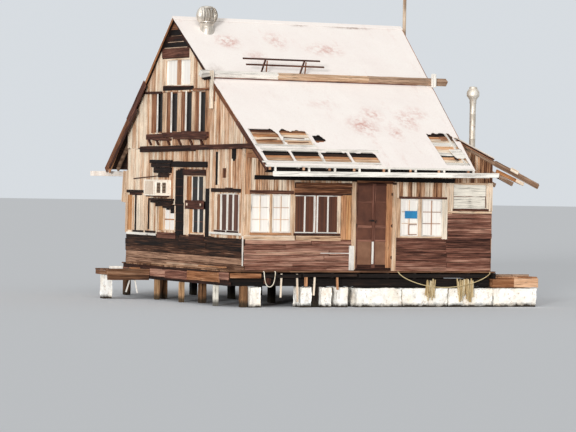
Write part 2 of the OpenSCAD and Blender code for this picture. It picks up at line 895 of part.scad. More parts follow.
module rope(points, n) {
    p = curve(points, n);
    m = rope_sides;
    color("#d8d2c0")
        polyhedron(
            points = [for (i = [0 : len(p) - 1]) each rope_ring(p, i)],
            faces = [
                [for (k = [m - 1 : -1 : 0]) k],
                for (i = [0 : len(p) - 2], k = [0 : m - 1])
                    each [[i * m + k, (i + 1) * m + (k + 1) % m, (i + 1) * m + k],
                        [i * m + k, i * m + (k + 1) % m, (i + 1) * m + (k + 1) % m]],
                [for (k = [0 : m - 1]) (len(p) - 1) * m + k]]);
}

module mooring_rope_left() {
    translate([400, -deck_out, deck_z + deck_t / 2]) rope(rope_left, 2);
}

module mooring_rope_right() {
    translate([add_x - 2710, -deck_out, deck_z + deck_t / 2]) rope(rope_right, 3);
}

piles();
floor_beams();
floor_joists();
house_floor();
front_deck();
side_walkway();
walkway_beam();
landing();
side_dock();
float_bearers();
foam_floats();
left_gable_wall();
front_wall_left();
front_wall_right();
front_wall_over_door();
rear_wall();
right_gable_wall();
addition_front_wall();
addition_side_wall();
addition_rear_wall();
front_lower_boards();
gable_lower_boards();
addition_lower_boards();
corner_boards();
belly_beam();
gable_ledges();
loft_joists();
loft_floor();
front_rafters();
rear_rafters();
ridge_board();
upper_roof();
lower_roof();
rear_roof();
ridge_cap();
break_beam();
barge_boards();
front_fascia();
rear_gutter();
addition_roof();
addition_rafters();
roof_rack();
mast_pole();
stove_pipe();
turbine_base();
turbine_rotor();
front_windows();
addition_shutter();
gable_windows();
loft_slat_window();
loft_top_window();
rear_windows();
air_conditioner();
door_frame();
front_door_left();
front_door_right();
mooring_rope_left();
mooring_rope_right();
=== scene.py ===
import math
import random

import bpy
import numpy as np
from mathutils import Euler, Matrix, Vector, noise


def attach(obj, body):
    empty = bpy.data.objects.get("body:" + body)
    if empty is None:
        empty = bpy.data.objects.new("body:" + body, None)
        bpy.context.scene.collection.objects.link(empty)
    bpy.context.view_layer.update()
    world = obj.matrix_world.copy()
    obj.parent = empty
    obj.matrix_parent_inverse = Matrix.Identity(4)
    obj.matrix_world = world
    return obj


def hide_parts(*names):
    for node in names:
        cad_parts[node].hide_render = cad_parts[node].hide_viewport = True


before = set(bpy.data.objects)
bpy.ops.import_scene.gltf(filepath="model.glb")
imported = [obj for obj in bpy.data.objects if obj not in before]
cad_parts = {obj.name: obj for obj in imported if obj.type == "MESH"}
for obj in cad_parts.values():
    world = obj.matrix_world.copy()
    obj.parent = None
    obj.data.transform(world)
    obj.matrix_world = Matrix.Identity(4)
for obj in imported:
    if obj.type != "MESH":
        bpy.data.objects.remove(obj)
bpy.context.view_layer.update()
scene = bpy.context.scene
scene.view_settings.view_transform = "Standard"
random.seed(11)


def between(low, high):
    return random.uniform(low, high)


# The house's own lines, in metres, as the frame has them
house = {
    "length": 5.6, "depth": 6.75, "low": .83, "dado": 1.6,  # dado: top of the dark boards
    "ridgeY": 3.95, "ridgeZ": 6.95, "eaveY": -1.09, "eaveZ": 3.31, "rearY": 7.75, "rearZ": 3.19,
    "addX": 6.71, "addDepth": 5., "addZ": 4.11, "addFall": .44,  # the lean-to
}
frontSlope = (house["ridgeZ"] - house["eaveZ"]) / (house["ridgeY"] - house["eaveY"])
rearRun, rearDrop = house["rearY"] - house["ridgeY"], house["ridgeZ"] - house["rearZ"]
rearSlope, rearLength = rearDrop / rearRun, math.hypot(rearRun, rearDrop)
frontAngle, rearAngle, addAngle = (math.atan(slope) for slope in (frontSlope, rearSlope, house["addFall"]))


def rearTop(y):
    return house["ridgeZ"] - (y - house["ridgeY"]) * rearSlope


def roofTop(y):
    return min(house["eaveZ"] + (y - house["eaveY"]) * frontSlope, rearTop(y))


def addTop(x):
    return house["addZ"] - (x - house["length"]) * house["addFall"]


# Places on the slopes: X along the eave, Y up the front slope or down the rear one, Z out of the roof
onFront = Matrix.Translation((0, house["eaveY"], house["eaveZ"])) @ Matrix.Rotation(frontAngle, 4, "X")
onRear = Matrix.Translation((0, house["ridgeY"], house["ridgeZ"])) @ Matrix.Rotation(-rearAngle, 4, "X")
onAdd = Matrix.Translation((house["length"], 0, house["addZ"])) @ Matrix.Rotation(addAngle, 4, "Y")

camera = {"turn": 27.1243, "pitch": -.7456, "roll": 1.1202, "place": (-31.3167, -63.3563, 3.0775), "pixels": 3022.089,
          "photoWide": 576}


def addCamera():
    turn, pitch, roll = (math.radians(camera[k]) for k in ("turn", "pitch", "roll"))
    ahead = Vector((math.sin(turn) * math.cos(pitch), math.cos(turn) * math.cos(pitch), math.sin(pitch)))
    side = Vector((math.cos(turn), -math.sin(turn), 0))
    rise = side.cross(ahead)
    right = side * math.cos(roll) + rise * math.sin(roll)
    up = rise * math.cos(roll) - side * math.sin(roll)
    data = bpy.data.cameras.new("camera")
    data.sensor_width, data.clip_end = 36, 500
    data.lens = camera["pixels"] * 36 / camera["photoWide"]
    eye = bpy.data.objects.new("camera", data)
    scene.collection.objects.link(eye)
    eye.matrix_world = Matrix.Translation(camera["place"]) @ Matrix((right, up, -ahead)).transposed().to_4x4()
    scene.camera = eye


addCamera()
print("stage: camera")


# A colour given in sRGB, 0 to 255
def hue(colour, by=1.):
    parts = (int(c * by) for c in colour)
    return tuple(((c / 255 + .055) / 1.055) ** 2.4 if c > 10 else c / 255 / 12.92 for c in parts) + (1,)


# Links a socket, or sets its value
def give(socket, value):
    if isinstance(value, bpy.types.NodeSocket):
        socket.id_data.links.new(value, socket)
    else:
        socket.default_value = value


def addNode(tree, kind, sockets, **settings):
    made = tree.nodes.new("ShaderNode" + kind)
    for key, value in settings.items():
        setattr(made, key, value)
    for key, value in sockets.items():
        give(made.inputs[key], value)
    return made


# A maths node; the tree is found from the sockets
def maths(kind, first, second=0., clamp=False):
    tree = (first if isinstance(first, bpy.types.NodeSocket) else second).id_data
    return addNode(tree, "Math", {0: first, 1: second}, operation=kind, use_clamp=clamp).outputs[0]


def plus(first, second):
    return maths("ADD", first, second)


def minus(first, second):
    return maths("SUBTRACT", first, second)


def times(first, second):
    return maths("MULTIPLY", first, second)


def grainOf(place, scale=1., detail=4., rough=.6):
    sockets = {"Vector": place, "Scale": scale, "Detail": detail, "Roughness": rough}
    return addNode(place.id_data, "TexNoise", sockets).outputs["Fac"]


def ranged(value, low, high, toLow=0., toHigh=1.):
    sockets = {"Value": value, "From Min": low, "From Max": high, "To Min": toLow, "To Max": toHigh}
    return addNode(value.id_data, "MapRange", sockets, clamp=True).outputs["Result"]


def mixed(amount, first, second, kind="MIX"):
    tree = (first if isinstance(first, bpy.types.NodeSocket) else amount).id_data
    return addNode(tree, "Mix", {0: amount, 6: first, 7: second}, data_type="RGBA", blend_type=kind).outputs[2]


def scaled(place, scale):
    return addNode(place.id_data, "Mapping", {"Vector": place, "Scale": scale}).outputs["Vector"]


def attributeOf(place, name):
    return addNode(place.id_data, "Attribute", {}, attribute_name=name).outputs["Fac"]


def grainMap(place):
    return addNode(place.id_data, "UVMap", {}, uv_map="grain").outputs["UV"]


def heightOf(place):
    return addNode(place.id_data, "SeparateXYZ", {0: place}).outputs["Z"]


def raised(height, strength=.4, distance=.004):
    sockets = {"Height": height, "Strength": strength, "Distance": distance}
    return addNode(height.id_data, "Bump", sockets).outputs[0]


finish = {}


# A new material: the place on the object, and how its shader's sockets are given
def newFinish(name):
    finish[name] = bpy.data.materials.new(name)
    finish[name].use_nodes = True
    tree = finish[name].node_tree
    shader = tree.nodes["Principled BSDF"]

    def dress(colour, rough, bump=None, **sockets):
        for key, value in {"Base Color": colour, "Roughness": rough, "Normal": bump, **sockets}.items():
            if value is not None:
                give(shader.inputs[key.replace("_", " ")], value)
    return addNode(tree, "TexCoord", {}).outputs["Object"], dress


# Each sun's energy, spread, elevation and azimuth, and the strength of the world as light and as seen
light = {"suns": ((2.35, 9, 6, 221), (.95, 60, 46, 213)), "sky": .38, "backdrop": .9}


def addLight():
    for energy, spread, elevation, azimuth in light["suns"]:
        sun = bpy.data.lights.new("sun", "SUN")
        sun.energy, sun.angle = energy, math.radians(spread)
        lamp = bpy.data.objects.new("sun", sun)
        lamp.rotation_euler = (math.radians(90 - elevation), 0, math.radians(180 - azimuth))
        scene.collection.objects.link(lamp)
    scene.world = bpy.data.worlds.new("studio")
    scene.world.use_nodes = True
    tree = scene.world.node_tree
    tree.nodes.clear()
    ray = addNode(tree, "LightPath", {}).outputs
    seen = maths("ADD", plus(ray["Is Camera Ray"], ray["Is Glossy Ray"]), ray["Is Transmission Ray"], True)
    plain = addNode(tree, "Background", {"Color": (1, .985, .97, 1), "Strength": light["sky"]}).outputs[0]
    shown = addNode(tree, "Background", {"Color": (.76, .80, .84, 1), "Strength": light["backdrop"]}).outputs[0]
    addNode(tree, "OutputWorld", {0: addNode(tree, "MixShader", {0: seen, 1: plain, 2: shown}).outputs[0]})


addLight()
print("stage: light")

# Scale across the grain, scale along it, detail and weight of each layer of wood grain
timber = {"broad": (17, .7, 3, 1.1), "streak": (62, 1.5, 5, 1.5), "fibre": (330, 7, 3, .55), "split": (30, .42, 2, 0)}


# Weathered timber. way is board for pieces with a grain map, or the axis that the grain runs along
def woodFinish(name, dark, mid, pale, way="board", paint=None, cover=.5, streaks=1., wet=False):
    place, dress = newFinish(name)
    onBoard = way == "board"
    grain = grainMap(place) if onBoard else place
    tone = attributeOf(place, "tone") if onBoard else ranged(grainOf(place, 1.7, 2), .3, .7, .25, .75)

    def along(across, run, detail, rough=.6):
        sizes = (across, run, 1) if onBoard else tuple(run if axis == way else across for axis in "xyz")
        return grainOf(scaled(grain, sizes), detail=detail, rough=rough)

    layers = {key: along(*timber[key][:3]) for key in timber}
    fibre, value = layers["fibre"], tone
    for key in ("broad", "streak", "fibre"):
        weight = timber[key][3] * (1 if key == "fibre" else streaks)
        value = plus(value, times(minus(layers[key], .5), weight))
    ramp = addNode(place.id_data, "ValToRGB", {"Fac": value})
    ramp.color_ramp.elements.new(.5)
    for element, spot, shade in zip(ramp.color_ramp.elements, (0, .45, .9), (dark, mid, pale)):
        element.position, element.color = spot, hue(shade)
    colour = ramp.outputs["Color"]
    crack = ranged(maths("ABSOLUTE", minus(layers["split"], .5)), .004, .016, 1, 0)
    height = plus(times(layers["streak"], .7), times(fibre, .5))
    if paint:
        left = ranged(plus(along(24, 2.6, 7, .7), times(tone, .25)), cover, cover + .05)
        colour = mixed(left, colour, mixed(ranged(fibre, .3, .7, 0, .35), hue(paint), hue(paint, .86)))
        height = plus(height, times(left, .5))
    colour = mixed(times(crack, .75), colour, hue(dark, .35))
    worn = ranged(grainOf(place, 1.1, 5), .35, .7, .78, 1.04)
    weather = addNode(place.id_data, "CombineColor", {"Red": worn, "Green": worn, "Blue": times(worn, .98)})
    colour = mixed(1., colour, weather.outputs[0], "MULTIPLY")
    if wet:
        line = plus(heightOf(place), times(grainOf(place, 9, 4), .12))
        colour = mixed(ranged(line, .14, .24, .85, 0), colour, hue((38, 33, 22)))
    dress(colour, ranged(fibre, .3, .7, .72, .92), raised(minus(height, times(crack, .9)), .55), Specular_IOR_Level=.25)


# Painted roofing, chalky, with rust that comes through in soft patches
def roofFinish(name, chalk, worn, washed, rusted):
    place, dress = newFinish(name)
    cloud = grainOf(scaled(place, (3.2, .8, .8)), 1.1, 8, .72)
    patch = plus(attributeOf(place, "stain"), ranged(cloud, .57, .75, 0, .35))
    rust = maths("MULTIPLY", patch, ranged(grainOf(place, 7, 8, .75), .42, .6), True)
    speck = ranged(grainOf(place, 34, 6, .7), .5, .72, 0, .5)
    base = mixed(speck, hue(chalk), hue(worn))
    base = mixed(ranged(grainOf(place, .9, 4), .4, .7, 0, .5), base, hue(washed))
    base = mixed(rust, base, hue(rusted))
    # darker patches: brown dirt, and thin bands by the ridge that are painted shadow of the ridge strip's lap
    dirt = times(attributeOf(place, "dirt"), ranged(grainOf(place, 11, 8, .7), .35, .6))
    seam = grainOf(scaled(place, (9, 60, 60)), 1, 3)
    dress(mixed(dirt, base, hue((134, 104, 86))), ranged(speck, 0, .5, .62, .85), raised(plus(seam, speck), .3))


def metalFinish(name, pale, dark, rough=.38, metallic=.85, rust=0.):
    place, dress = newFinish(name)
    cloud = ranged(grainOf(scaled(place, (9, 9, 3)), 1, 6, .65), .35, .65)
    colour = mixed(cloud, hue(pale), hue(dark))
    if rust:
        spot = ranged(grainOf(place, 16, 8, .7), .62 - rust * .15, .7 - rust * .1)
        colour = mixed(spot, colour, hue((140, 88, 58)))
    bump = raised(grainOf(place, 120, 3), .12, .001)
    dress(colour, ranged(cloud, 0, 1, rough, rough + .22), bump, Metallic=metallic)


def foamFinish(name, fresh, aged, pitted, wet):
    place, dress = newFinish(name)
    cell = addNode(place.id_data, "TexVoronoi", {"Vector": place, "Scale": 130.}).outputs["Distance"]
    pit = ranged(grainOf(place, 13, 7, .7), .34, .44, 1, 0)
    grime = ranged(plus(heightOf(place), times(grainOf(place, 6, 6, .7), .2)), .13, .21, 1, 0)
    colour = mixed(ranged(grainOf(place, 3, 5), .4, .65), hue(fresh), hue(aged))
    colour = mixed(grime, mixed(times(pit, .6), colour, hue(pitted)), hue(wet))
    dress(colour, .92, raised(minus(cell, times(pit, 2)), .5))


# A shade or curtain behind old glass
def paneFinish(name, first, second, folds=20., coat=.5):
    place, dress = newFinish(name)
    fold = grainOf(scaled(place, (folds, folds, .35)), 1, 2)
    colour = mixed(ranged(fold, .38, .62), hue(first), hue(second))
    dusty = tuple(.8 * a + .2 * b for a, b in zip(first, (190, 180, 165)))
    colour = mixed(ranged(grainOf(place, 5, 5, .6), .5, .75, 0, .25), colour, hue(dusty))
    dress(colour, .55, Coat_Weight=coat, Coat_Roughness=.105, Coat_Normal=raised(grainOf(place, 2.2, 2), .08, .01))


def screenFinish(name, first, second):
    place, dress = newFinish(name)
    threads = {"Vector": grainMap(place), "Scale": 90.}
    weave = times(*(addNode(place.id_data, "TexWave", threads, bands_direction=way).outputs["Fac"] for way in "XY"))
    colour = mixed(ranged(grainOf(place, 3.1, 4), .35, .65), hue(first), hue(second))
    dress(mixed(times(weave, .4), colour, hue((52, 32, 24))), .7, raised(weave, .4, .001))


def ropeFinish(name, pale, dark):
    place, dress = newFinish(name)
    lay = grainOf(place, 95, 3)
    colour = mixed(ranged(grainOf(place, 5, 5), .45, .7), hue(pale), hue(dark))
    dress(mixed(ranged(lay, .4, .6, 0, .35), colour, hue((96, 78, 58))), .9, raised(lay, .5, .002))


for name, dark, mid, pale, settings in (
        ("bleached", (78, 40, 20), (208, 154, 114), (255, 236, 212), {"streaks": 1.25}),
        ("brown", (70, 36, 20), (160, 106, 74), (226, 180, 146), {"streaks": 1.2}),
        ("lower", (48, 22, 14), (134, 86, 70), (204, 158, 136), {"streaks": 1.25}),
        ("gableLower", (20, 9, 4), (98, 64, 46), (190, 150, 124), {"streaks": 1.3}),
        ("black", (8, 4, 3), (28, 15, 10), (104, 70, 54), {}),
        ("header", (24, 11, 7), (78, 44, 32), (150, 106, 86), {}),
        ("plum", (40, 18, 12), (92, 54, 42), (156, 108, 90), {}),
        ("cream", (130, 80, 48), (226, 188, 154), (255, 240, 220), {}),
        ("white", (160, 112, 80), (222, 186, 156), (250, 232, 212), {"paint": (254, 248, 240), "cover": .36}),
        ("tan", (132, 76, 40), (192, 136, 96), (236, 186, 144), {}),
        ("orange", (140, 84, 46), (206, 146, 96), (240, 198, 150), {}),
        ("deck", (56, 34, 22), (132, 92, 66), (198, 158, 128), {"wet": True}),
        ("grey", (58, 36, 24), (150, 116, 92), (220, 188, 162), {}),
        ("dock", (104, 56, 24), (178, 122, 84), (236, 192, 156), {"wet": True}),
        # the near-black timber under the floor: painted shade, and darker still at the water
        ("wetBlack", (10, 7, 5), (30, 20, 15), (84, 60, 46), {"wet": True}),
        ("straw", (140, 104, 62), (206, 178, 128), (244, 226, 190), {"streaks": 1.3}),
        ("shutter", (206, 176, 146), (236, 218, 198), (252, 242, 228), {"paint": (252, 244, 230), "cover": .3}),
        # near-black boards for the undersides of the roof sheets, dark as painted shade
        ("under", (16, 10, 8), (46, 30, 22), (88, 62, 48), {"way": "x"}),
        ("pile", (60, 38, 24), (150, 108, 74), (214, 172, 130), {"wet": True}),
        ("inside", (66, 44, 32), (128, 94, 72), (178, 142, 114), {"way": "x"}),
        ("insideY", (66, 44, 32), (128, 94, 72), (178, 142, 114), {"way": "y"}),
        ("backing", (34, 22, 16), (74, 50, 38), (112, 82, 64), {"way": "z"}),
        ("slopeWhite", (170, 130, 104), (214, 188, 164), (240, 226, 210),
         {"way": "y", "paint": (248, 242, 234), "cover": .42}),
        ("slopeGrey", (60, 42, 30), (134, 104, 82), (190, 158, 132), {"way": "y"}),
        ("whitePile", (150, 120, 90), (214, 190, 160), (240, 226, 206),
         {"paint": (248, 242, 230), "cover": .4, "wet": True}),
        ("pole", (150, 116, 90), (226, 202, 178), (246, 230, 212), {"way": "z"})):
    woodFinish(name, dark, mid, pale, **settings)
roofFinish("feltGrey", (206, 186, 168), (176, 152, 132), (222, 206, 190), (150, 104, 84))
roofFinish("roof", (246, 239, 233), (226, 212, 202), (238, 226, 220), (196, 128, 112))
metalFinish("gutter", (250, 244, 236), (226, 214, 202), .5, 0., .2)
metalFinish("metal", (226, 218, 206), (178, 168, 156), .34, .75)
metalFinish("pipe", (236, 228, 216), (186, 174, 156), .42, .6, .25)
metalFinish("iron", (52, 42, 38), (30, 24, 22), .5, .6, .6)
metalFinish("enamel", (252, 246, 234), (236, 222, 202), .4, 0., .12)
# enamel darkened for the louvres and vent slats, as painted shade
metalFinish("enamelShade", (212, 186, 160), (196, 168, 142), .45, 0., .12)
foamFinish("foam", (254, 252, 246), (242, 232, 216), (176, 140, 100), (44, 34, 22))
paneFinish("blind", (252, 246, 236), (238, 230, 222))
paneFinish("redPane", (98, 52, 26), (68, 32, 14), 16., .05)
paneFinish("brownPane", (140, 90, 50), (108, 64, 34), 16., .1)
# the black pane: a sheet behind the slats and in the tall window, painted shade of the dark inside
paneFinish("blackPane", (16, 10, 8), (8, 5, 4), 6., 0.)
paneFinish("card", (24, 134, 186), (16, 120, 172), 3.)
screenFinish("screen", (78, 40, 24), (104, 60, 40))
screenFinish("screenLow", (122, 82, 58), (146, 104, 78))
ropeFinish("ropeWhite", (246, 238, 220), (206, 188, 158))
ropeFinish("ropeStraw", (216, 196, 148), (168, 142, 100))
print("stage: finishes", len(finish))

rope = {  # points are in millimetres from the base
    "thick": .022, "strands": 3, "twist": 9, "around": 12, "step": .012,
    "left": {"coat": "ropeWhite", "base": (.400, -.230, .850), "between": 2, "points": [
        [0, 0, 0], [0, -32, -4], [4, -45, -50], [14, -45, -140], [34, -45, -240], [76, -45, -325], [150, -45, -362],
        [224, -45, -325], [266, -45, -240], [286, -45, -140], [296, -45, -50], [300, -32, -4], [300, 0, 0]]},
    "right": {"coat": "ropeStraw", "base": (4.000, -.230, .850), "between": 3, "points": [
        [0, 0, 0], [4, -32, -6], [30, -45, -50], [150, -45, -130], [350, -45, -215], [600, -45, -290], [900, -45, -345],
        [1275, -45, -370], [1650, -45, -345], [1950, -45, -290], [2200, -45, -215], [2400, -45, -130], [2520, -45, -50],
        [2546, -32, -6], [2550, 0, 0]]},
}


def smoothPath(points, steps, base):
    points = [Vector(p) / 1000 + Vector(base) for p in points]
    path = []
    for k in range(len(points) - 1):
        a, b, c, d = (points[min(max(k + j, 0), len(points) - 1)] for j in (-1, 0, 1, 2))
        for t in (s / steps for s in range(steps)):
            path.append(.5 * (2 * b + (c - a) * t + (2 * a - 5 * b + 4 * c - d) * t * t
                              + (3 * b - a - 3 * c + d) * t ** 3))
    return path + [points[-1]]


def newObject(name, points, edges, faces):
    mesh = bpy.data.meshes.new(name)
    mesh.from_pydata(points, edges, faces)
    item = bpy.data.objects.new(name, mesh)
    scene.collection.objects.link(item)
    return item


# A laid rope: a lobed section that turns as it follows the path
def twistedRope(name, path, coat):
    fine = []
    for a, b in zip(path, path[1:]):
        pieces = max(1, round((b - a).length / rope["step"]))
        fine += [a.lerp(b, k / pieces) for k in range(pieces)]
    fine.append(path[-1])
    around, last = rope["around"], len(fine) - 1
    rings, faces, gone = [], [], 0
    for k, point in enumerate(fine):
        ahead = (fine[min(k + 1, last)] - fine[max(k - 1, 0)]).normalized()
        if k in (0, last):
            ahead = Vector((0, -1 if k == 0 else 1, 0))
        side = ahead.cross(Vector((0, -1, .001))).normalized()
        rise = side.cross(ahead)
        gone += (point - fine[k - 1]).length if k else 0
        for j in range(around):
            swing = 2 * math.pi * j / around
            strand = math.cos(rope["strands"] * (swing - gone * rope["twist"] * 2 * math.pi))
            lobe = rope["thick"] / 2 * (.93 + .07 * strand)
            rings.append(point + side * math.cos(swing) * lobe + rise * math.sin(swing) * lobe)
    for k in range(last):
        for j in range(around):
            here, there = k * around + j, k * around + (j + 1) % around
            faces.append((here, there, there + around, here + around))
    faces += [tuple(reversed(range(around))), tuple(range(len(rings) - around, len(rings)))]
    item = newObject(name, rings, [], faces)
    item.data.materials.append(finish[coat])
    return item


for side in ("left", "right"):
    own = rope[side]
    path = smoothPath(own["points"], own["between"], own["base"])
    item = twistedRope("mooringRope" + side.capitalize(), path, own["coat"])
    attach(item, "boathouse")
    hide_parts("mooring_rope_" + side)
print("stage: ropes")


# Selects these pieces alone, the first of them active
def pick(*items):
    for item in list(bpy.context.selected_objects):
        item.select_set(False)
    for item in items:
        item.select_set(True)
        bpy.context.view_layer.objects.active = items[0]


def selectAll(action="SELECT"):
    bpy.ops.mesh.select_all(action=action)


def openEdit(item):
    pick(item)
    bpy.ops.object.mode_set(mode="EDIT")
    selectAll()


def closeEdit():
    bpy.ops.object.mode_set(mode="OBJECT")


def cutAt(spot, normal, **settings):
    selectAll()
    bpy.ops.mesh.bisect(plane_co=spot, plane_no=normal, **settings)


def applied(item, kind, **settings):
    modifier = item.modifiers.new(kind.lower(), kind)
    for key, value in settings.items():
        setattr(modifier, key, value)
    pick(item)
    bpy.ops.object.modifier_apply(modifier=modifier.name)


# A fresh primitive with its place in its mesh and no map
def fresh(primitive, turned=False, **settings):
    pick()
    primitive(**settings)
    item = bpy.context.object
    bpy.ops.object.transform_apply(location=True, rotation=turned, scale=True)
    while item.data.uv_layers:
        item.data.uv_layers.remove(item.data.uv_layers[0])
    return item


def smoothed(item, degrees):
    pick(item)
    bpy.ops.object.shade_smooth_by_angle(angle=math.radians(degrees))


def joined(items):
    pick(*items)
    if len(items) > 1:
        bpy.ops.object.join()
    return items[0]


def finishPiece(item, name, body="boathouse", hides=()):
    item.name = name
    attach(item, body)
    if hides:
        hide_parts(*hides)
    return item


# Every board is a copy of one of these blanks: bars that are cut across and made uneven
blanks = {"stretch": 12, "rough": (5, .05), "neat": (1, .006), "kinds": 6}


def makeBlank(cuts, uneven, seed):
    long = blanks["stretch"]
    blank = fresh(bpy.ops.mesh.primitive_cube_add, size=1, scale=(1, 1, long))
    openEdit(blank)
    for k in range(cuts):
        cutAt((0, 0, long * ((k + 1) / (cuts + 1) - .5)), (0, 0, 1))
    selectAll()
    bpy.ops.transform.vertex_random(offset=uneven, uniform=0, normal=0, seed=seed, wait_for_input=False)
    bpy.ops.transform.resize(value=(1, 1, 1 / long))
    closeEdit()
    mesh = blank.data
    mesh.uv_layers.new(name="grain")
    mesh.attributes.new("tone", "FLOAT", "FACE")
    corners = np.array([mesh.vertices[loop.vertex_index].co for loop in mesh.loops])
    facing = np.zeros(len(mesh.loops), int)
    for face in mesh.polygons:
        facing[list(face.loop_indices)] = int(np.argmax(np.abs(face.normal)))
    scene.collection.objects.unlink(blank)
    return {"mesh": mesh, "corners": corners, "facing": facing}


roughBlanks = [makeBlank(*blanks["rough"], seed) for seed in range(1, blanks["kinds"] + 1)]
neatBlank = makeBlank(*blanks["neat"], 3)
turns = [Matrix(((0, 0, 1), (1, 0, 0), (0, 1, 0))), Matrix(((0, 1, 0), (0, 0, 1), (1, 0, 0))), Matrix.Identity(3)]


# One board from corner to corner, its grain along an axis, turned about its middle
def stick(parts, low, high, along, coat, tone=.5, turn=(0, 0, 0), neat=False):
    low, high = Vector(map(min, low, high)), Vector(map(max, low, high))
    blank = neatBlank if neat else random.choice(roughBlanks)
    own = turns[along].transposed() @ (high - low)
    mesh, facing = blank["mesh"].copy(), blank["facing"]
    real = blank["corners"] * np.array(own)
    across = np.where(facing == 0, real[:, 1], real[:, 0])
    run = np.where(facing == 2, real[:, 1], real[:, 2])
    offset = (between(0, 40), between(0, 40))
    mesh.uv_layers["grain"].data.foreach_set("uv", np.stack((across + offset[0], run + offset[1]), 1).ravel())
    mesh.attributes["tone"].data.foreach_set("value", np.full(len(mesh.polygons), tone))
    mesh.transform(Matrix.Diagonal((*own, 1)))
    mesh.transform(Matrix.Translation((low + high) / 2) @ Euler(turn).to_matrix().to_4x4() @ turns[along].to_4x4())
    mesh.materials.append(finish[coat])
    item = bpy.data.objects.new("stick", mesh)
    scene.collection.objects.link(item)
    parts.append(item)
    return item


# Joins the boards into one piece, trims it by planes and eases its edges
def build(name, parts, slot, body="boathouse", hides=(), edge=.003, place=None, cuts=()):
    item = joined(parts)
    if place:
        item.data.transform(place)
    if cuts:
        openEdit(item)
        for spot, normal in cuts:
            cutAt(spot, normal, use_fill=True, clear_outer=True)
        closeEdit()
    applied(item, "BEVEL", width=edge, segments=1, limit_method="ANGLE", angle_limit=math.radians(40))
    return finishPiece(item, name, body, hides)


# On a wall, a is the run along it, z the height and d the distance out from it
walls = {
    "front": lambda a, d, z: (a, -d, z), "gable": lambda a, d, z: (-d, a, z),
    "rear": lambda a, d, z: (a, house["depth"] + d, z), "right": lambda a, d, z: (house["length"] + d, a, z),
    "side": lambda a, d, z: (house["addX"] + d, a, z), "addRear": lambda a, d, z: (a, house["addDepth"] + d, z),
}


# lean turns the board in the plane of its wall
def wallStick(parts, wall, a0, a1, z0, z1, d0, d1, coat, tone=.5, lean=0., upright=None, neat=False):
    if upright is None:
        upright = z1 - z0 > a1 - a0
    run = 0 if wall in ("front", "rear", "addRear") else 1
    turn = (lean if run else 0, 0 if run else lean, 0)
    stick(parts, walls[wall](a0, d0, z0), walls[wall](a1, d1, z1), 2 if upright else run, coat, tone, turn, neat)


# Rows of a0, a1, z0, z1, d0, d1 on a wall, or of two corners along x, y or z, each after the name of its coat;
# then a board's tone, and its lean or turn
def lay(parts, where, rows, neat=False):
    for row in rows:
        if isinstance(row, str):
            coat = row
        elif where in walls:
            wallStick(parts, where, *row[:6], coat, *row[6:], neat=neat)
        else:
            stick(parts, row[:3], row[3:6], "xyz".index(where), coat, *row[6:], neat=neat)


# A piece of such rows, from its dictionary
def makePiece(name, slot, parts=(), neat=False, **settings):
    parts = list(parts)
    for where in [key for key in settings if key in walls or key in "xyz"]:
        lay(parts, where, settings.pop(where), neat)
    return build(name, parts, slot, **settings)


def makePieces(pieces):
    for name, piece in pieces.items():
        makePiece(name, **piece)


boarding = {"gap": .009, "jitter": .02, "thick": (.015, .021), "shade": .3, "lean": .002}


# Upright boarding from low up to top(a), left open at the holes (a0, a1, z0, z1)
def uprightBoards(parts, wall, start, end, low, top, holes, width, tone, ragged=0.):
    stops = sorted({start, end} | {side for hole in holes for side in hole[:2] if start < side < end})
    half = boarding["gap"] / 2
    for first, last in zip(stops, stops[1:]):
        count = max(1, round((last - first) / width))
        marks = [first + (last - first) * k / count for k in range(count + 1)]
        for k in range(1, count):
            marks[k] += between(-boarding["jitter"], boarding["jitter"])
        for a0, a1 in zip(marks, marks[1:]):
            middle = (a0 + a1) / 2
            height = max(top(a0), top(a1)) if callable(top) else top
            spans, z = [], low + between(-ragged, ragged)
            for hole in sorted((h for h in holes if h[0] - .001 < middle < h[1] + .001), key=lambda h: h[2]):
                spans.append((z, hole[2]))
                z = hole[3]
            spans.append((z, height))
            shade = tone(middle) if callable(tone) else tone
            for z0, z1 in spans:
                if z1 - z0 > .03 and a1 - a0 > .015:
                    wallStick(parts, wall, a0 + half, a1 - half, z0, z1, 0, between(*boarding["thick"]), "bleached",
                              shade + between(-boarding["shade"], boarding["shade"]),
                              between(-boarding["lean"], boarding["lean"]), True)


siding = {
    "front": [(.15, 1.20, 1.69, 2.65), (1.30, 2.52, 1.69, 2.65), (2.83, 4.05, 0, 2.99), (4.126, 5.416, 1.69, 2.65),
              (5.45, 5.60, 0, 2.27)],
    # the last four are the slot and the rough oval where a knot and its board broke out
    "gable": [(.27, 1.47, 1.69, 2.65), (1.89, 2.10, 1.6, 2.76), (2.11, 2.93, 1.69, 3.09), (3.32, 3.82, 1.6, 3.20),
              (3.74, 4.85, 1.69, 2.33), (1.46, 1.60, 2.86, 3.64), (.48, .54, 3.48, 3.70), (.54, .68, 3.42, 3.72),
              (.68, .74, 3.47, 3.70)],
    "loft": [(2.22, 5.34, 4.10, 5.10), (3.04, 4.52, 5.23, 5.92), (3.17, 4.75, 5.92, 7)],
    "rear": [(.6, 1.8, 1.69, 2.65), (3.8, 5.0, 1.69, 2.65)],
    "underSheet": .042, "underAdd": .16, "foot": .87, "belly": 3.72,
}
frontUnder = house["eaveZ"] - .172 + 1.09 * frontSlope
addUnder = house["addZ"] - siding["underAdd"]
roofCuts = [
    ((0, house["eaveY"], house["eaveZ"] - siding["underSheet"]), (0, -math.sin(frontAngle), math.cos(frontAngle))),
    ((0, house["ridgeY"], house["ridgeZ"] - siding["underSheet"]), (0, math.sin(rearAngle), math.cos(rearAngle)))]
addCuts = [((house["length"], 0, addUnder), (math.sin(addAngle), 0, math.cos(addAngle)))]


def lowerTop(a):
    return min(siding["belly"], roofTop(a))


def underAdd(x):
    return addTop(x) - siding["underAdd"]


def gableTone(a):
    return .7 if a < .4 else .64 if a < 2.6 else .58 if a < 4.6 else .76


def frontTone(a):
    return .62 if a < 2.8 else .5 if a < 5.3 else .6


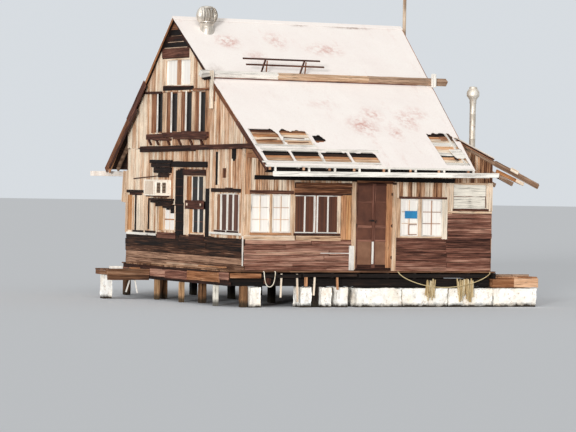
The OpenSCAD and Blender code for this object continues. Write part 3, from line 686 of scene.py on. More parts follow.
# Each piece: its planes, its runs (wall, start, end, low, top, holes, width, tone, ragged), and its trim
sidingPieces = {
    "gableSidingLower": (roofCuts, [
        ("gable", .02, 6.70, house["dado"], lowerTop, siding["gable"], .125, gableTone)], ()),
    "gableSidingUpper": (roofCuts, [
        ("gable", .02, 6.73, siding["belly"], roofTop, siding["loft"], .125, gableTone, .01)], ()),
    "frontSiding": ((), [
        ("front", 0, 1.30, house["dado"], frontUnder, siding["front"], .12, frontTone),
        ("front", 1.30, 2.83, 2.95, frontUnder, (), .14, frontTone),
        ("front", 2.83, 5.6, 1.66, frontUnder, siding["front"], .115, frontTone)], [
        "brown", (1.31, 2.83, 2.7, 2.82, 0, .022, .3), (1.31, 2.83, 2.825, 2.95, 0, .024, .15), "header",
        (1.31, 2.56, 2.645, 2.695, 0, .034, .4), (.12, 1.28, 2.665, 2.75, 0, .036),
        (4.1, 5.42, 2.6, 2.655, .001, .036, .6), "tan", (2.54, 2.675, 1.6, 2.66, 0, .022), "orange",
        (2.685, 2.82, 1.6, 2.66, 0, .024), "cream", (0, 1.33, 1.575, 1.69, .002, .03, .6),
        (1.34, 2.54, 1.575, 1.69, .002, .028, .35), (0, .145, 1.7, 2.66, 0, .026), (1.19, 1.3, 1.7, 2.66, 0, .024),
        # the black board across the top of the wall, under the fascia, is painted shadow of the eave
        (4.05, 4.16, 1.66, 2.62, 0, .026, .3), "black", (.17, 5.58, 3, 3.1, .02, .034, .1)]),
    "leanToFrontSiding": (addCuts, [("front", 5.6, 6.71, 2.97, underAdd, (), .12, .3)], [
        "cream", (5.49, 6.72, 2.27, 2.325, 0, .034), (5.51, 5.62, 2.33, 3.02, 0, .03, .7),
        (6.59, 6.72, 2.33, 3.02, 0, .03, .75)]),
    "leanToSideSiding": (addCuts, [("side", 0, 5, siding["foot"], underAdd(house["addX"]), (), .14, .42),
                                   ("addRear", 5.62, 6.71, siding["foot"], underAdd, (), .14, .42)], ()),
    "rearSiding": ((), [("rear", 0, 5.6, siding["foot"], rearTop(house["depth"]) - .2, siding["rear"], .15, .4)], ()),
    "rightSiding": (roofCuts, [("right", .02, 5.1, 3.2, roofTop, (), .15, .42),
                               ("right", 5.1, 6.73, siding["foot"], roofTop, (), .15, .4)], ()),
}
for name, (cuts, runs, trim) in sidingPieces.items():
    parts = []
    for run in runs:
        uprightBoards(parts, *run)
    lay(parts, "front", trim)
    build(name, parts, "bleached_boards", cuts=cuts)


# Lapped level boards with a joint here and there, the lowest first
def levelBoards(parts, wall, start, end, high, width, coat, tones):
    count = round((high - house["low"]) / width)
    step = (high - house["low"]) / count
    for k in range(count):
        z0 = house["low"] + k * step
        joints = [start, end]
        if end - start > 2:
            joints.insert(1, between(start + .3 * (end - start), end - .2 * (end - start)))
        for a0, a1 in zip(joints, joints[1:]):
            tone = tones[min(k, len(tones) - 1)] + between(-.1, .12)
            wallStick(parts, wall, a0 + .002, a1 - .002, z0 + between(.002, .014), z0 + step - .003, .001,
                      between(.015, .024), coat, tone, upright=False)


# Each piece: the node it stands for, its runs (wall, start, end, high, width, coat, tones), and its trim
lowBoards = {
    "frontLowerBoarding": ("front_lower_boards", [
        ("front", .005, 2.826, house["dado"], .128, "lower", [.5, .45, .55, .6, .45, .55]),
        ("front", 4.046, 5.46, 1.66, .128, "lower", [.6, .5, .2, .15, .3, .15])], [
        "white", (2, 2.82, 1.272, 1.29, .018, .03, .9), "cream", (.3, 2, 1.276, 1.288, .018, .028)]),
    "leanToLowerBoarding": ("addition_lower_boards", [
        ("front", 5.462, 6.712, 2.26, .12, "lower", [.6, .5, .4, .3, .45, .25, .1, .4, .45, .3, .4, .5])], ()),
    "gableLowerBoarding": ("gable_lower_boards", [
        ("gable", 0, 6.75, house["dado"], .155, "gableLower", [.55, .75, .25, .12, .08])], ()),
}
for name, (node, runs, trim) in lowBoards.items():
    parts = []
    for run in runs:
        levelBoards(parts, *run)
    lay(parts, "front", trim)
    build(name, parts, "dark_boards", hides=[node])
print("stage: siding")

makePieces({
    "cornerBoards": {"slot": "white_paint", "hides": ["corner_boards"], "gable": [
        "cream", (0, .075, 1.2, 3.58, 0, .024), "white", (0, .06, .96, 1.66, .02, .03, .9), "cream",
        (6.64, 6.8, 1.6, 3.16, 0, .02), (6.74, 7.02, 2.35, 3.14, .001, .019, .4, .12)]},
    "bellyBeam": {"slot": "weathered_timber", "hides": ["belly_beam"], "edge": .008, "gable": [
        "header", (-.36, 2.9, 3.7, 3.815, .018, .088, .35, -.012), (2.7, 5.88, 3.635, 3.78, .018, .075, .2, -.012),
        "black", (.6, 5.2, 3.69, 3.72, .02, .084, .3, -.016)]},
})


# The rough sill under the slats, in broken lengths over a second row of them, on struts
ledges = {
    "sill": ((2.0, 3.4, 3.98, 4.13, .085), (3.3, 4.6, 3.99, 4.11, .075), (4.5, 5.5, 3.94, 4.07, .08)),
    "under": ((2.1, 3.0, 3.93), (2.9, 3.9, 3.94), (4.1, 5.1, 3.91)), "struts": (2.35, 2.95, 3.6, 4.25, 4.9, 5.35),
}


def makeGableLedges():
    parts = []
    for a0, a1, z0, z1, out in ledges["sill"]:
        wallStick(parts, "gable", a0, a1, z0, z1, 0, out, "plum", .3, between(-.02, .02))
    for a0, a1, z0 in ledges["under"]:
        wallStick(parts, "gable", a0, a1, z0, z0 + .06, 0, .088, "header", .45, between(-.03, .03))
    for a in ledges["struts"]:
        wallStick(parts, "gable", a - .13, a + .13, 3.87, 3.91, 0, .07, "header", .4, .75)
    lay(parts, "gable", [
        # heads over the tall window, the stack of boards beside it, the front window's head
        "black", (2.02, 4.02, 3.26, 3.4, 0, .058, .2), "header", (2.1, 3.35, 3.06, 3.21, 0, .045, .3), "black",
        (4, 5.25, 3.35, 3.43, 0, .088, .3), (4.05, 5.17, 3.25, 3.345, 0, .076, .4),
        (4.06, 5.05, 3.11, 3.245, 0, .064, .3), (4.2, 4.8, 3, 3.105, 0, .052, .4),
        (.17, 1.75, 2.68, 2.77, 0, .048, .45), (.6, 1, 2.74, 2.79, 0, .044)])
    build("gableLedges", parts, "weathered_timber", hides=["gable_ledges"], edge=.006)


# Level boards over the top window, and black boarded strips by the tall one
gableTrim = {
    "bands": ((5.95, 6.18, "plum", .45), (6.19, 6.32, "black", .3), (6.33, 6.48, "header", .15),
              (6.49, 6.62, "black", .2), (6.63, 6.86, "brown", .3)),
    "strips": ((3.32, 3.56, 3.21), (3.57, 3.82, 3.20), (1.89, 2.10, 2.76)),
}


def makeGableTrim():
    parts = []
    for k, (z0, z1, coat, tone) in enumerate(gableTrim["bands"]):
        wallStick(parts, "gable", 3.17, 4.76, z0, z1, 0, .02 + .004 * (k % 2), coat, tone)
    lay(parts, "gable", [
        "grey", (3.3, 4.6, 6.178, 6.196, .02, .032, .8), (3.5, 4.4, 6.318, 6.336, .02, .032, .6),
        (3.62, 4.2, 6.47, 6.485, .02, .03),
        # ledges each side of the peak
        "header", (4.72, 5.8, 5.07, 5.13, 0, .05, .3, .01), "brown", (1.98, 2.88, 5.11, 5.17, 0, .05, .2), "black",
        (2, 2.4, 5.38, 5.44, 0, .04, .3), (2.9, 4.66, 5.14, 5.24, 0, .03, .3),
        # ragged awning over the rear window
        (3.88, 5.23, 2.43, 2.48, 0, .1), (3.93, 5.18, 2.365, 2.425, 0, .08, .4, .01),
        (4, 4.9, 2.29, 2.37, 0, .06, .5, -.02), (3.86, 4.5, 2.24, 2.3, .03, .05, .3, .02),
        # boarded window at the far end, with its two-tier head
        (5.64, 6.7, 2.6, 2.67, 0, .05, .4), "header", (5.78, 6.5, 2.54, 2.6, 0, .04, .3), "orange",
        (6.38, 6.63, 1.66, 2.55, .02, .03, .4), "cream", (6.22, 6.36, 1.66, 2.55, .02, .03, .7), "orange",
        (6.26, 6.3, 1.66, 2.5, .03, .034, .3), "cream", (5.68, 5.9, 1.66, 2.55, .02, .03, .65),
        (5.91, 6.09, 1.66, 2.55, .02, .03, .8), (5.43, 5.6, 1.66, 2.55, .02, .03), "black",
        (6.11, 6.21, 1.66, 2.54, .02, .024, .4), (5.32, 5.41, 1.7, 2.46, .02, .024, .4), "white",
        (4.95, 6.7, 1.55, 1.61, 0, .04, .9), "black", (4.95, 5.55, 1.615, 1.665, 0, .036, .4),
        (5.66, 6.3, 1.615, 1.66, 0, .036, .4),
        # low boards under the windows, the sill and its notches
        "plum", (3.76, 4.84, 1.6, 1.645, .022, .034), (3.76, 4.84, 1.5, 1.585, .022, .034, .6), "header",
        (2.15, 3, 1.5, 1.64, .022, .036, .3), "white", (.16, 1.82, 1.675, 1.73, 0, .06, .95), "header",
        (.3, .9, 1.735, 1.775, 0, .034, .25), (1, 1.6, 1.735, 1.775, 0, .034, .25),
        # pale sliver and splinter beside the slot, black boards in the slot and the oval as painted shade of the dark
        # inside, and a brown knot hole
        "cream", (1.37, 1.44, 2.86, 3.65, .014, .023, .8), "black", (1.44, 1.62, 2.84, 3.66, -.012, .002, 0),
        (.46, .76, 3.4, 3.74, -.012, .002, 0), "brown", (1, 1.18, 3.02, 3.25, .018, .024, .1),
        # thin slanted lath over the air conditioner
        "header", (4.12, 6.3, 3, 3.025, 0, .04, .4, -.055)])
    for a0, a1, z1 in gableTrim["strips"]:
        wallStick(parts, "gable", a0, a1, house["dado"], z1, 0, .022, "black", .1)
    for k in range(7):
        z = 1.72 + k * .21 + between(-.02, .02)
        wallStick(parts, "gable", 3.34, 3.80, z, z + .012, .022, .028, "header", .4)
    build("gableTrim", parts, "weathered_timber", edge=.004, cuts=roofCuts)


makeGableLedges()
makeGableTrim()
print("stage: gable trim")


def frameRound(parts, wall, a0, a1, z0, z1, rim, d0, d1, coat, tone=.7):
    left, right = a0 + rim, a1 - rim
    for b0, b1, y0, y1, upright in ((a0, left, z0, z1, None), (right, a1, z0, z1, None),
                                    (left, right, z0, z0 + rim, False), (left, right, z1 - rim, z1, False)):
        wallStick(parts, wall, b0, b1, y0, y1, d0, d1, coat, tone, upright=upright, neat=True)


# One white sash: stiles, rails and bars, with a shade in each light
def sash(parts, wall, a0, a1, z0, z1, columns, rows, rim=.03, bar=.018, barCoat="white", depth=0., barTone=.5):
    frameRound(parts, wall, a0, a1, z0, z1, rim, depth - .035, depth, "white", .85)
    left, right, foot, head = a0 + rim, a1 - rim, z0 + rim, z1 - rim
    width, height = (a1 - a0 - 2 * rim) / columns, (z1 - z0 - 2 * rim) / rows
    for k in range(1, columns):
        a = left + k * width
        wallStick(parts, wall, a - bar / 2, a + bar / 2, foot, head, depth - .028, depth - .006, barCoat, barTone,
                  neat=True)
    for k in range(1, rows):
        z = foot + k * height
        wallStick(parts, wall, left, right, z - bar / 2, z + bar / 2, depth - .029, depth - .007, barCoat, barTone,
                  upright=False, neat=True)
    for i in range(columns):
        for j in range(rows):
            a, z = left + i * width, foot + j * height
            wallStick(parts, wall, a, a + width, z, z + height, depth - .031, depth - .024 - between(0, .002), "blind",
                      neat=True)


frontWindow = {
    "sashes": ((.15, .645, 1.755, .013, "cream", .014), (.71, 1.185, 1.755, .013, "cream", .02),  # the left window
               (4.17, 4.655, 1.70, .013, "cream", .014), (4.745, 5.31, 1.70, .015, "brown", .02)),  # the right one
    "lights": ((1.32, 1.56), (1.60, 1.82), (1.93, 2.18), (2.22, 2.45)),  # of the middle window
    "card": (4.29, 4.625, 2.13, 2.31, 0, .0165),  # a plain blue card in one light
}


def makeFrontWindows():
    parts = []
    for a0, a1, low, bar, coat, depth in frontWindow["sashes"]:
        sash(parts, "front", a0, a1, low, low + .9, 2, 3, .03, bar, coat, depth, .6)
    for a0, a1 in frontWindow["lights"]:
        wallStick(parts, "front", a0 - .01, a1 + .01, 1.76, 2.65, -.02, -.008, "redPane", neat=True)
    lay(parts, "front", [
        "cream", (.645, .71, 1.72, 2.66, -.05, .026), "tan", (.12, 1.21, 1.695, 1.755, 0, .045), "cream",
        (1.28, 1.32, 1.7, 2.65, -.05, .02), "white", (1.562, 1.6, 1.76, 2.65, -.03, .004, .9),
        (1.815, 1.862, 1.76, 2.65, -.04, .016, .9), (1.886, 1.93, 1.76, 2.65, -.04, .016, .85), "brown",
        (1.86, 1.89, 1.76, 2.65, -.04, .016, .4), "white", (2.182, 2.22, 1.76, 2.65, -.03, .004, .9), "cream",
        (2.45, 2.53, 1.7, 2.66, -.04, .026, .7), "white", (1.3, 2.5, 2.625, 2.65, -.03, .014, .7), "header",
        (1.28, 2.52, 1.695, 1.75, -.01, .04, .3), "white", (1.32, 2.46, 1.752, 1.778, -.03, .012, .7), "cream",
        (4.655, 4.745, 1.66, 2.6, -.05, .03, .6), (5.312, 5.46, 1.64, 2.6, -.005, .028, .95), "brown",
        (4.4, 4.62, 1.735, 1.75, 0, .018, .3), (4.4, 4.62, 1.975, 1.99, 0, .018, .3),
        (4.395, 4.41, 1.735, 1.99, 0, .018, .3), "cream", (4.12, 5.31, 1.662, 1.7, 0, .034)], True)
    wallStick(parts, "front", *frontWindow["card"], "card", neat=True)
    build("frontWindows", parts, "white_paint", hides=["front_windows"], edge=.002)


slats = {
    "span": (2.22, 5.34, 4.10, 5.10),
    "boards": (("brown", 4.99, 5.33, .35), ("white", 4.945, 4.98, .95), ("cream", 4.44, 4.68, .45),
               ("brown", 4.21, 4.43, .3), ("white", 4.125, 4.165, .95), ("cream", 3.60, 3.82, .5),
               ("brown", 3.38, 3.59, .3), ("white", 3.285, 3.325, .95), ("cream", 2.81, 2.99, .5),
               ("brown", 2.59, 2.80, .3), ("white", 2.49, 2.53, .95)),
}


def makeLoftSlats():
    parts = []
    for coat, a0, a1, tone in slats["boards"]:
        front = .03 if coat == "white" else .012
        wallStick(parts, "gable", a0, a1, *slats["span"][2:], front - .03, front, coat, tone)
    # a black sheet behind the slats, painted shade of the dark loft
    wallStick(parts, "gable", *slats["span"], -.045, -.035, "blackPane", neat=True)
    frameRound(parts, "gable", *slats["span"], .03, -.09, -.01, "brown", .3)
    build("loftSlats", parts, "weathered_timber", hides=["loft_slat_window"], edge=.003)


def makeTopWindow():
    parts = []
    frameRound(parts, "gable", 3.04, 4.52, 5.23, 5.92, .04, -.06, .026, "cream")
    sash(parts, "gable", 3.86, 4.50, 5.25, 5.90, 1, 1, .035)
    sash(parts, "gable", 3.06, 3.64, 5.25, 5.90, 1, 1, .035, depth=.004)
    lay(parts, "gable", [
        "brown", (3.64, 3.86, 5.24, 5.91, -.03, .014, .6), "header", (3.02, 4.58, 5.215, 5.25, 0, .05, .4, .012),
        "cream", (4.53, 4.6, 5.25, 5.92, 0, .03, .55)])
    build("loftTopWindow", parts, "white_paint", hides=["loft_top_window"], edge=.002)


def makeRearWindows():
    parts = []
    for a in (.6, 3.8):
        frameRound(parts, "rear", a, a + 1.2, 1.69, 2.65, .045, -.06, .02, "cream", .6)
        sash(parts, "rear", a + .05, a + .59, 1.74, 2.61, 2, 3, barTone=.8)
        sash(parts, "rear", a + .61, a + 1.15, 1.74, 2.61, 2, 3, depth=.004, barTone=.8)
        lay(parts, "rear", [
            "header", (a - .06, a + 1.26, 2.66, 2.74, 0, .04), "cream", (a - .06, a + 1.26, 1.63, 1.68, 0, .05, .6)])
    build("rearWindowSashes", parts, "white_paint", hides=["rear_windows"], edge=.002)


makeFrontWindows()
makePieces({
    "leanToShutter": {"slot": "white_paint", "hides": ["addition_shutter"], "edge": .002, "front": [
        "shutter", (5.63, 6.53, 2.385, 2.675, -.03, .012, .85), (5.63, 6.53, 2.685, 2.965, -.03, .02, .95), "header",
        (5.64, 6.53, 2.672, 2.688, -.01, .016, .6), "cream", (6.53, 6.59, 2.38, 2.97, -.03, .016, .8), "header",
        (6.525, 6.54, 2.4, 2.94, 0, .018), (5.615, 5.632, 2.385, 2.965, -.02, .022, .6),
        (5.6, 6.62, 2.325, 2.38, 0, .036, .45), "cream", (5.62, 6.6, 2.967, 3.01, 0, .026)]},
    "gableWindows": {"slot": "weathered_timber", "hides": ["gable_windows"], "edge": .002, "gable": [
        # front window: red-brown lights between white bars
        "brownPane", (1.295, 1.475, 1.74, 2.65, -.03, .009), "redPane", (.95, 1.21, 1.74, 2.65, -.03, .009),
        (.63, .87, 1.74, 2.65, -.03, .009), (.31, .57, 1.74, 2.65, -.03, .009), "white",
        (1.2, 1.3, 1.74, 2.66, -.04, .013, .9), (.86, .96, 1.74, 2.66, -.04, .013, .9),
        (.56, .64, 1.74, 2.66, -.04, .013, .9), (.24, .32, 1.73, 2.67, -.04, .016, .9), "cream",
        (1.47, 1.655, 1.73, 2.67, -.02, .02, .8), "white", (.3, 1.5, 2.63, 2.68, -.03, .015, .8),
        (.3, 1.5, 1.735, 1.78, -.03, .013, .8),
        # tall window: two dark lights over two, black as painted shade of the room behind, with a red-brown block
        # between
        "blackPane", (2.565, 2.86, 2.44, 3.06, -.03, .009), (2.24, 2.51, 2.44, 3.06, -.03, .009),
        (2.53, 2.77, 1.65, 2.26, -.03, .009), (2.2, 2.45, 1.65, 2.26, -.03, .009), "white",
        (2.5, 2.57, 2.46, 3.05, -.04, .012, .85), (2.85, 2.905, 2.46, 3.05, -.04, .014, .9), "cream",
        (2.18, 2.25, 2.44, 3.07, -.04, .018, .7), (2.15, 2.21, 1.64, 2.26, -.04, .018, .7), "white",
        (2.44, 2.54, 1.66, 2.25, -.04, .012, .85), (2.76, 2.825, 1.66, 2.25, -.04, .014, .85), "header",
        (2.25, 2.85, 2.742, 2.758, 0, .0105), (2.21, 2.76, 1.942, 1.958, 0, .0105), "orange",
        (2.9, 3.15, 2.46, 3.06, 0, .026, .1), (2.82, 2.99, 1.64, 2.25, 0, .026), "cream",
        (3.15, 3.325, 2.4, 3.1, 0, .032, .7), (2.99, 3.29, 1.62, 2.4, 0, .03, .7), "plum",
        (2.16, 3.22, 2.25, 2.46, .028, .042, .35), "cream", (2.18, 3.16, 3.04, 3.075, -.03, .03, .6),
        (2.14, 2.9, 1.625, 1.67, -.03, .034), (2.3, 2.36, 2.33, 2.39, .042, .05, .8),
        (3.06, 3.13, 2.33, 2.39, .042, .05, .8),
        # rear window: orange stile, white lights with black patches over them
        "blind", (3.84, 4.43, 1.7, 2.3, -.03, .004), "cream", (4.42, 4.52, 1.69, 2.3, -.04, .02, .6), "orange",
        (4.51, 4.735, 1.69, 2.32, -.04, .028, .6), "bleached", (4.735, 4.86, 1.69, 2.32, -.03, .02), "cream",
        (4.13, 4.15, 1.7, 2.3, -.03, .008), "orange", (3.84, 4.52, 1.955, 1.985, -.03, .01, .25), "cream",
        (3.78, 3.85, 1.68, 2.32, -.04, .024, .6), (3.84, 4.44, 1.69, 1.72, -.03, .016, .6), "black",
        (4.11, 4.36, 2.2, 2.28, -.02, .006, .2), (3.85, 4.11, 2.12, 2.31, -.02, .008, .2),
        (3.82, 4.46, 2.27, 2.33, -.03, .02, .3)]},
})
makeLoftSlats()
makeTopWindow()
makeRearWindows()
print("stage: windows")

door = {
    "low": .939, "high": 2.951, "face": .04, "thick": .035, "barrel": .0049, "roll": .027, "foot": .075, "head": .05,
    "rails": ((1.565, 1.61, "plum", .8), (1.89, 1.95, "plum", .85), (2.50, 2.52, "plum", .75)),
}
makePiece("doorPosts", "white_paint", hides=["door_frame"], edge=.004, front=[
    "cream", (2.832, 2.944, .875, 2.96, .001, .038, .45), "white", (2.77, 2.905, .875, 1.46, .026, .044, .95),
    "cream", (3.928, 4.044, .875, 2.96, .001, .038, .45), "brown", (2.944, 3.928, 2.962, 3.018, .001, .036, .25),
    "header", (2.944, 3.928, .872, .934, 0, .036, .2)])


# A hinge barrel in three rolls
def knuckle(parts, x, out, z):
    for k in (-1, 0, 1):
        item = fresh(bpy.ops.mesh.primitive_cylinder_add, vertices=14, radius=door["barrel"], depth=door["roll"],
                     location=(x, -out, z + k * .03))
        item.data.uv_layers.new(name="grain")
        item.data.materials.append(finish["iron"])
        openEdit(item)
        bpy.ops.mesh.bevel(offset=.0008, segments=1, affect="EDGES")
        closeEdit()
        parts.append(item)


# Stiles and rails round screened openings, with strap hinges on one edge
def doorLeaf(name, body, hidden, left, right, stiles, hingeX):
    low, high, out, inn = door["low"], door["high"], door["face"], door["face"] - door["thick"]
    first, last = stiles
    parts = []
    for a0, a1 in ((left, left + first), (right - last, right)):
        coat, tone = ("tan", .45) if a1 - a0 > .1 else ("plum", .55)
        wallStick(parts, "front", a0, a1, low, high, inn, out, coat, tone, neat=True)
    rails = [(low, low + door["foot"], "header", .25), *door["rails"], (high - door["head"], high, "plum", .2)]
    for z0, z1, coat, tone in rails:
        sunk = .009 if z1 - z0 < .03 else .003
        wallStick(parts, "front", left + first, right - last, z0, z1, inn + .004, out - sunk, coat, tone, upright=False,
                  neat=True)
    for under, over in zip(rails, rails[1:]):
        wallStick(parts, "front", left + first - .004, right - last + .004, under[1] - .003, over[0] + .003, inn + .014,
                  inn + .018, "screenLow" if under is rails[0] else "screen", neat=True)
    side = 1 if hingeX < 3.4 else -1
    for z in (low + .25, (low + high) / 2, high - .25):
        wallStick(parts, "front", hingeX + side * .006, hingeX + side * .03, z - .03, z + .03, out, out + .003,
                  "plum", .3, neat=True)
        knuckle(parts, hingeX, out + .006, z)
    build(name, parts, "screen_door", body, [hidden], .0015)


doorLeaf("leftScreenDoor", "left_door_leaf", "front_door_left", 2.952, 3.433, (.035, .06), 2.949)
doorLeaf("rightScreenDoor", "right_door_leaf", "front_door_right", 3.439, 3.920, (.03, .16), 3.923)
for name, side, rows in (
        ("doorHasp", "right", ["iron", (3.445, 3.5, 2.045, 2.085, .04, .046), (3.455, 3.475, 2.01, 2.05, .044, .056)]),
        ("doorStaple", "left", ["iron", (3.36, 3.431, 2.04, 2.09, .04, .047), (3.3, 3.37, 2.052, 2.078, .04, .05)]),
        ("doorLath", "left", ["white", (3.378, 3.431, 1.03, 1.565, .04, .046, .95)])):
    makePiece(name, "screen_door", neat=True, body=side + "_door_leaf", edge=.001, front=rows)
print("stage: doors")

roofSheet = {
    "breakV": 3.70, "top": 6.217, "leanLeft": .175, "leanRight": .68,  # how far the side edges lean out over the height
    "cell": .036, "thick": .028, "wave": .010, "edge": .03,
    # soft rust patches on the front slope: middle x, middle v, half width, half height, strength
    "stain": [(1.0, 5.2, .34, .30, .8), (1.55, 4.6, .3, .24, .5), (2.35, 5.3, .26, .42, .55), (3.6, 5.0, .5, .3, .6),
              (3.3, 1.75, .42, .42, .75), (3.75, 2.25, .3, .3, .55), (4.05, 1.5, .22, .35, .6), (4.6, 2.0, .3, .45, .6),
              (5.0, 2.35, .3, .3, .4), (2.5, 2.6, .5, .2, .25)],
    # dark patches, same columns: brown dirt by the ridge, and thin bands along the ridge strip's lower edge that are
    # painted shadow of its lap
    "dirt": [(3.3, 6.12, .25, .1, 1.), (4.75, 6.08, .6, .08, 1.), (.5, 6.15, .7, .06, .6), (5.2, 3.75, .9, .06, .6),
             (.2, 3.9, .2, .3, .4)],
    # bays where the sheet is gone: x0 (or open to the edge), x1, v0, v1, seed and depth of the ragged rim
    "bays": [(None, .82, .90, 1.50, 1, .08), (.91, 1.62, .90, 1.48, 2, .07), (4.91, 5.56, .22, 1.52, 5, .06),
             (None, .83, .25, .64, 3, .02), (.90, 1.60, .25, .65, 4, .02), (1.66, 2.37, .24, .64, 6, .03),
             (2.43, 3.12, .25, .63, 8, .03)],
}


def leftEdge(v):
    return .045 - roofSheet["leanLeft"] * v / roofSheet["top"]


def rightEdge(v):
    return house["length"] + roofSheet["leanRight"] * v / roofSheet["top"]


def blotch(x, v, spots):
    return max([0.] + [s * max(0., 1.25 - math.hypot((x - cx) / w, (v - cv) / h)) for cx, cv, w, h, s in spots])


def ragged(x, v, wide, seed=0.):
    return wide * (noise.noise((x * 5.3, v * 5.3, seed)) + .5 * noise.noise((x * 15, v * 15, seed + 4)))


# A roof sheet as a fine grid on its slope, trimmed, holed, given a slight wave and its thickness
def sheetPiece(name, low, high, place, hidden, trims=(), holes=(), stains=False, coat="roof"):
    cell = roofSheet["cell"] * (1 if holes else 2.2)
    wide, tall = high[0] - low[0], high[1] - low[1]
    pick()
    bpy.ops.mesh.primitive_grid_add(x_subdivisions=round(wide / cell), y_subdivisions=round(tall / cell), size=1,
                                    location=((low[0] + high[0]) / 2, (low[1] + high[1]) / 2, -.004))
    item = bpy.context.object
    item.scale = (wide, tall, 1)
    bpy.ops.object.transform_apply(location=True, rotation=False, scale=True)
    mesh = item.data
    mesh.uv_layers.remove(mesh.uv_layers[0])
    openEdit(item)
    for spot, normal in trims:
        cutAt(spot, normal, clear_outer=True)
    selectAll("DESELECT")
    closeEdit()
    if holes:
        for face in mesh.polygons:
            face.select = any(holed(*face.center[:2]) for holed in holes)
        bpy.ops.object.mode_set(mode="EDIT")
        bpy.ops.mesh.select_mode(type="FACE")
        bpy.ops.mesh.delete(type="FACE")
        bpy.ops.mesh.select_mode(type="EDGE")
        bpy.ops.mesh.select_non_manifold(extend=False)
        closeEdit()
        edge = roofSheet["edge"]
        for vertex in mesh.vertices:  # the outer edges stay straight
            x, v = vertex.co[:2]
            if v < low[1] + edge or v > high[1] - edge or x < leftEdge(v) + edge or x > rightEdge(v) - edge:
                vertex.select = False
        bpy.ops.object.mode_set(mode="EDIT")
        bpy.ops.mesh.select_mode(type="VERT")
        bpy.ops.mesh.vertices_smooth(factor=.5, repeat=2)
        closeEdit()
    cloud = bpy.data.textures.new(name + "Wave", "CLOUDS")
    cloud.noise_scale = .45
    applied(item, "DISPLACE", texture=cloud, direction="Z", strength=roofSheet["wave"], mid_level=.75)
    for label in ("stain", "dirt"):
        values = [blotch(*vertex.co[:2], roofSheet[label]) if stains else 0. for vertex in mesh.vertices]
        mesh.attributes.new(label, "FLOAT", "POINT").data.foreach_set("value", values)
    mesh.materials.append(finish[coat])
    mesh.materials.append(finish["under"])
    applied(item, "SOLIDIFY", thickness=roofSheet["thick"] - roofSheet["wave"], offset=-1)
    for face in mesh.polygons:  # the underside, near-black as painted shade
        if face.normal.z < -.5:
            face.material_index = 1
    mesh.transform(place)
    finishPiece(item, name, hides=[hidden])


def bay(x0, x1, v0, v1, seed, wide):
    def holed(x, v):
        left = x0 if x0 is not None else leftEdge(v) + .09
        shift = ragged(x, v, wide, seed)
        return left + shift * .4 < x < x1 + shift * .5 and v0 + shift * .3 < v < v1 + shift
    return holed


# The small tear to the right of the upper bays, narrow at its top
def torn(x, v):
    return 1.70 < x < 2.02 - .5 * max(0, v - 1.12) and 1.0 + .25 * (x - 1.7) < v < 1.34 + ragged(x, v, .1, 7)


def makeRoofSheets():
    split, top = roofSheet["breakV"], roofSheet["top"]
    edges = [((leftEdge(0), 0, 0), (-1, -roofSheet["leanLeft"] / top, 0)),
             ((rightEdge(0), 0, 0), (1, -roofSheet["leanRight"] / top, 0))]
    holes = [torn] + [bay(*opening) for opening in roofSheet["bays"]]
    sheetPiece("lowerRoofSheet", (leftEdge(split) - .02, 0), (rightEdge(split) + .02, split - .002), onFront,
               "lower_roof", edges, holes, True)
    sheetPiece("upperRoofSheet", (leftEdge(top) - .02, split + .003), (rightEdge(top) + .02, top - .003), onFront,
               "upper_roof", edges, (), True)
    sheetPiece("rearRoofSheet", (-.128, .01), (5.68, rearLength - .002), onRear, "rear_roof")
    sheetPiece("leanToRoofSheet", (.006, -.118), (1.205, 5.118), onAdd, "addition_roof", coat="feltGrey")


def makeRoofEdges():
    brown = []
    slant, tilt = (math.atan(roofSheet[lean] / roofSheet["top"]) for lean in ("leanLeft", "leanRight"))
    makePiece("roofLaths", "white_paint", place=onFront, edge=.002, x=[
        # laths along the open edge and the purlin between the rows of bays
        "white", (.06, -.002, -.014, 5.6, .05, .012, .95), (0, .15, .001, 3.14, .21, .008, .95),
        (.08, .655, -.034, 3.2, .74, .005, .95), (.05, .8, -.034, 1.68, .89, .004, .95),
        (5.27, .5, -.012, 5.58, .86, .004, .95, (0, 0, .12)), "header",
        (5.24, .4, -.008, 5.31, .52, .006, .2, (0, 0, .5))])
    lay(brown, "y", [
        "header", (-.012, .02, -.13, .018, 1.9, -.032, .5, (0, 0, slant)), "brown",
        (-.06, 1.85, -.12, -.03, 3.66, -.032, .2, (0, 0, slant)),
        (5.6, .05, -.03, 5.612, 3.6, .002, .3, (0, 0, -tilt)),
        (6.035, 3.75, -.03, 6.047, 6.15, .002, .4, (0, 0, -tilt))])
    # the last two strips slide over to the leaning edge
    for item, middle, x in ((brown[2], 1.825, 5.606), (brown[3], 4.95, 6.041)):
        item.data.transform(Matrix.Translation((rightEdge(middle) - x, 0, 0)))
    build("lowerRakeBoard", brown, "weathered_timber", place=onFront, edge=.002)
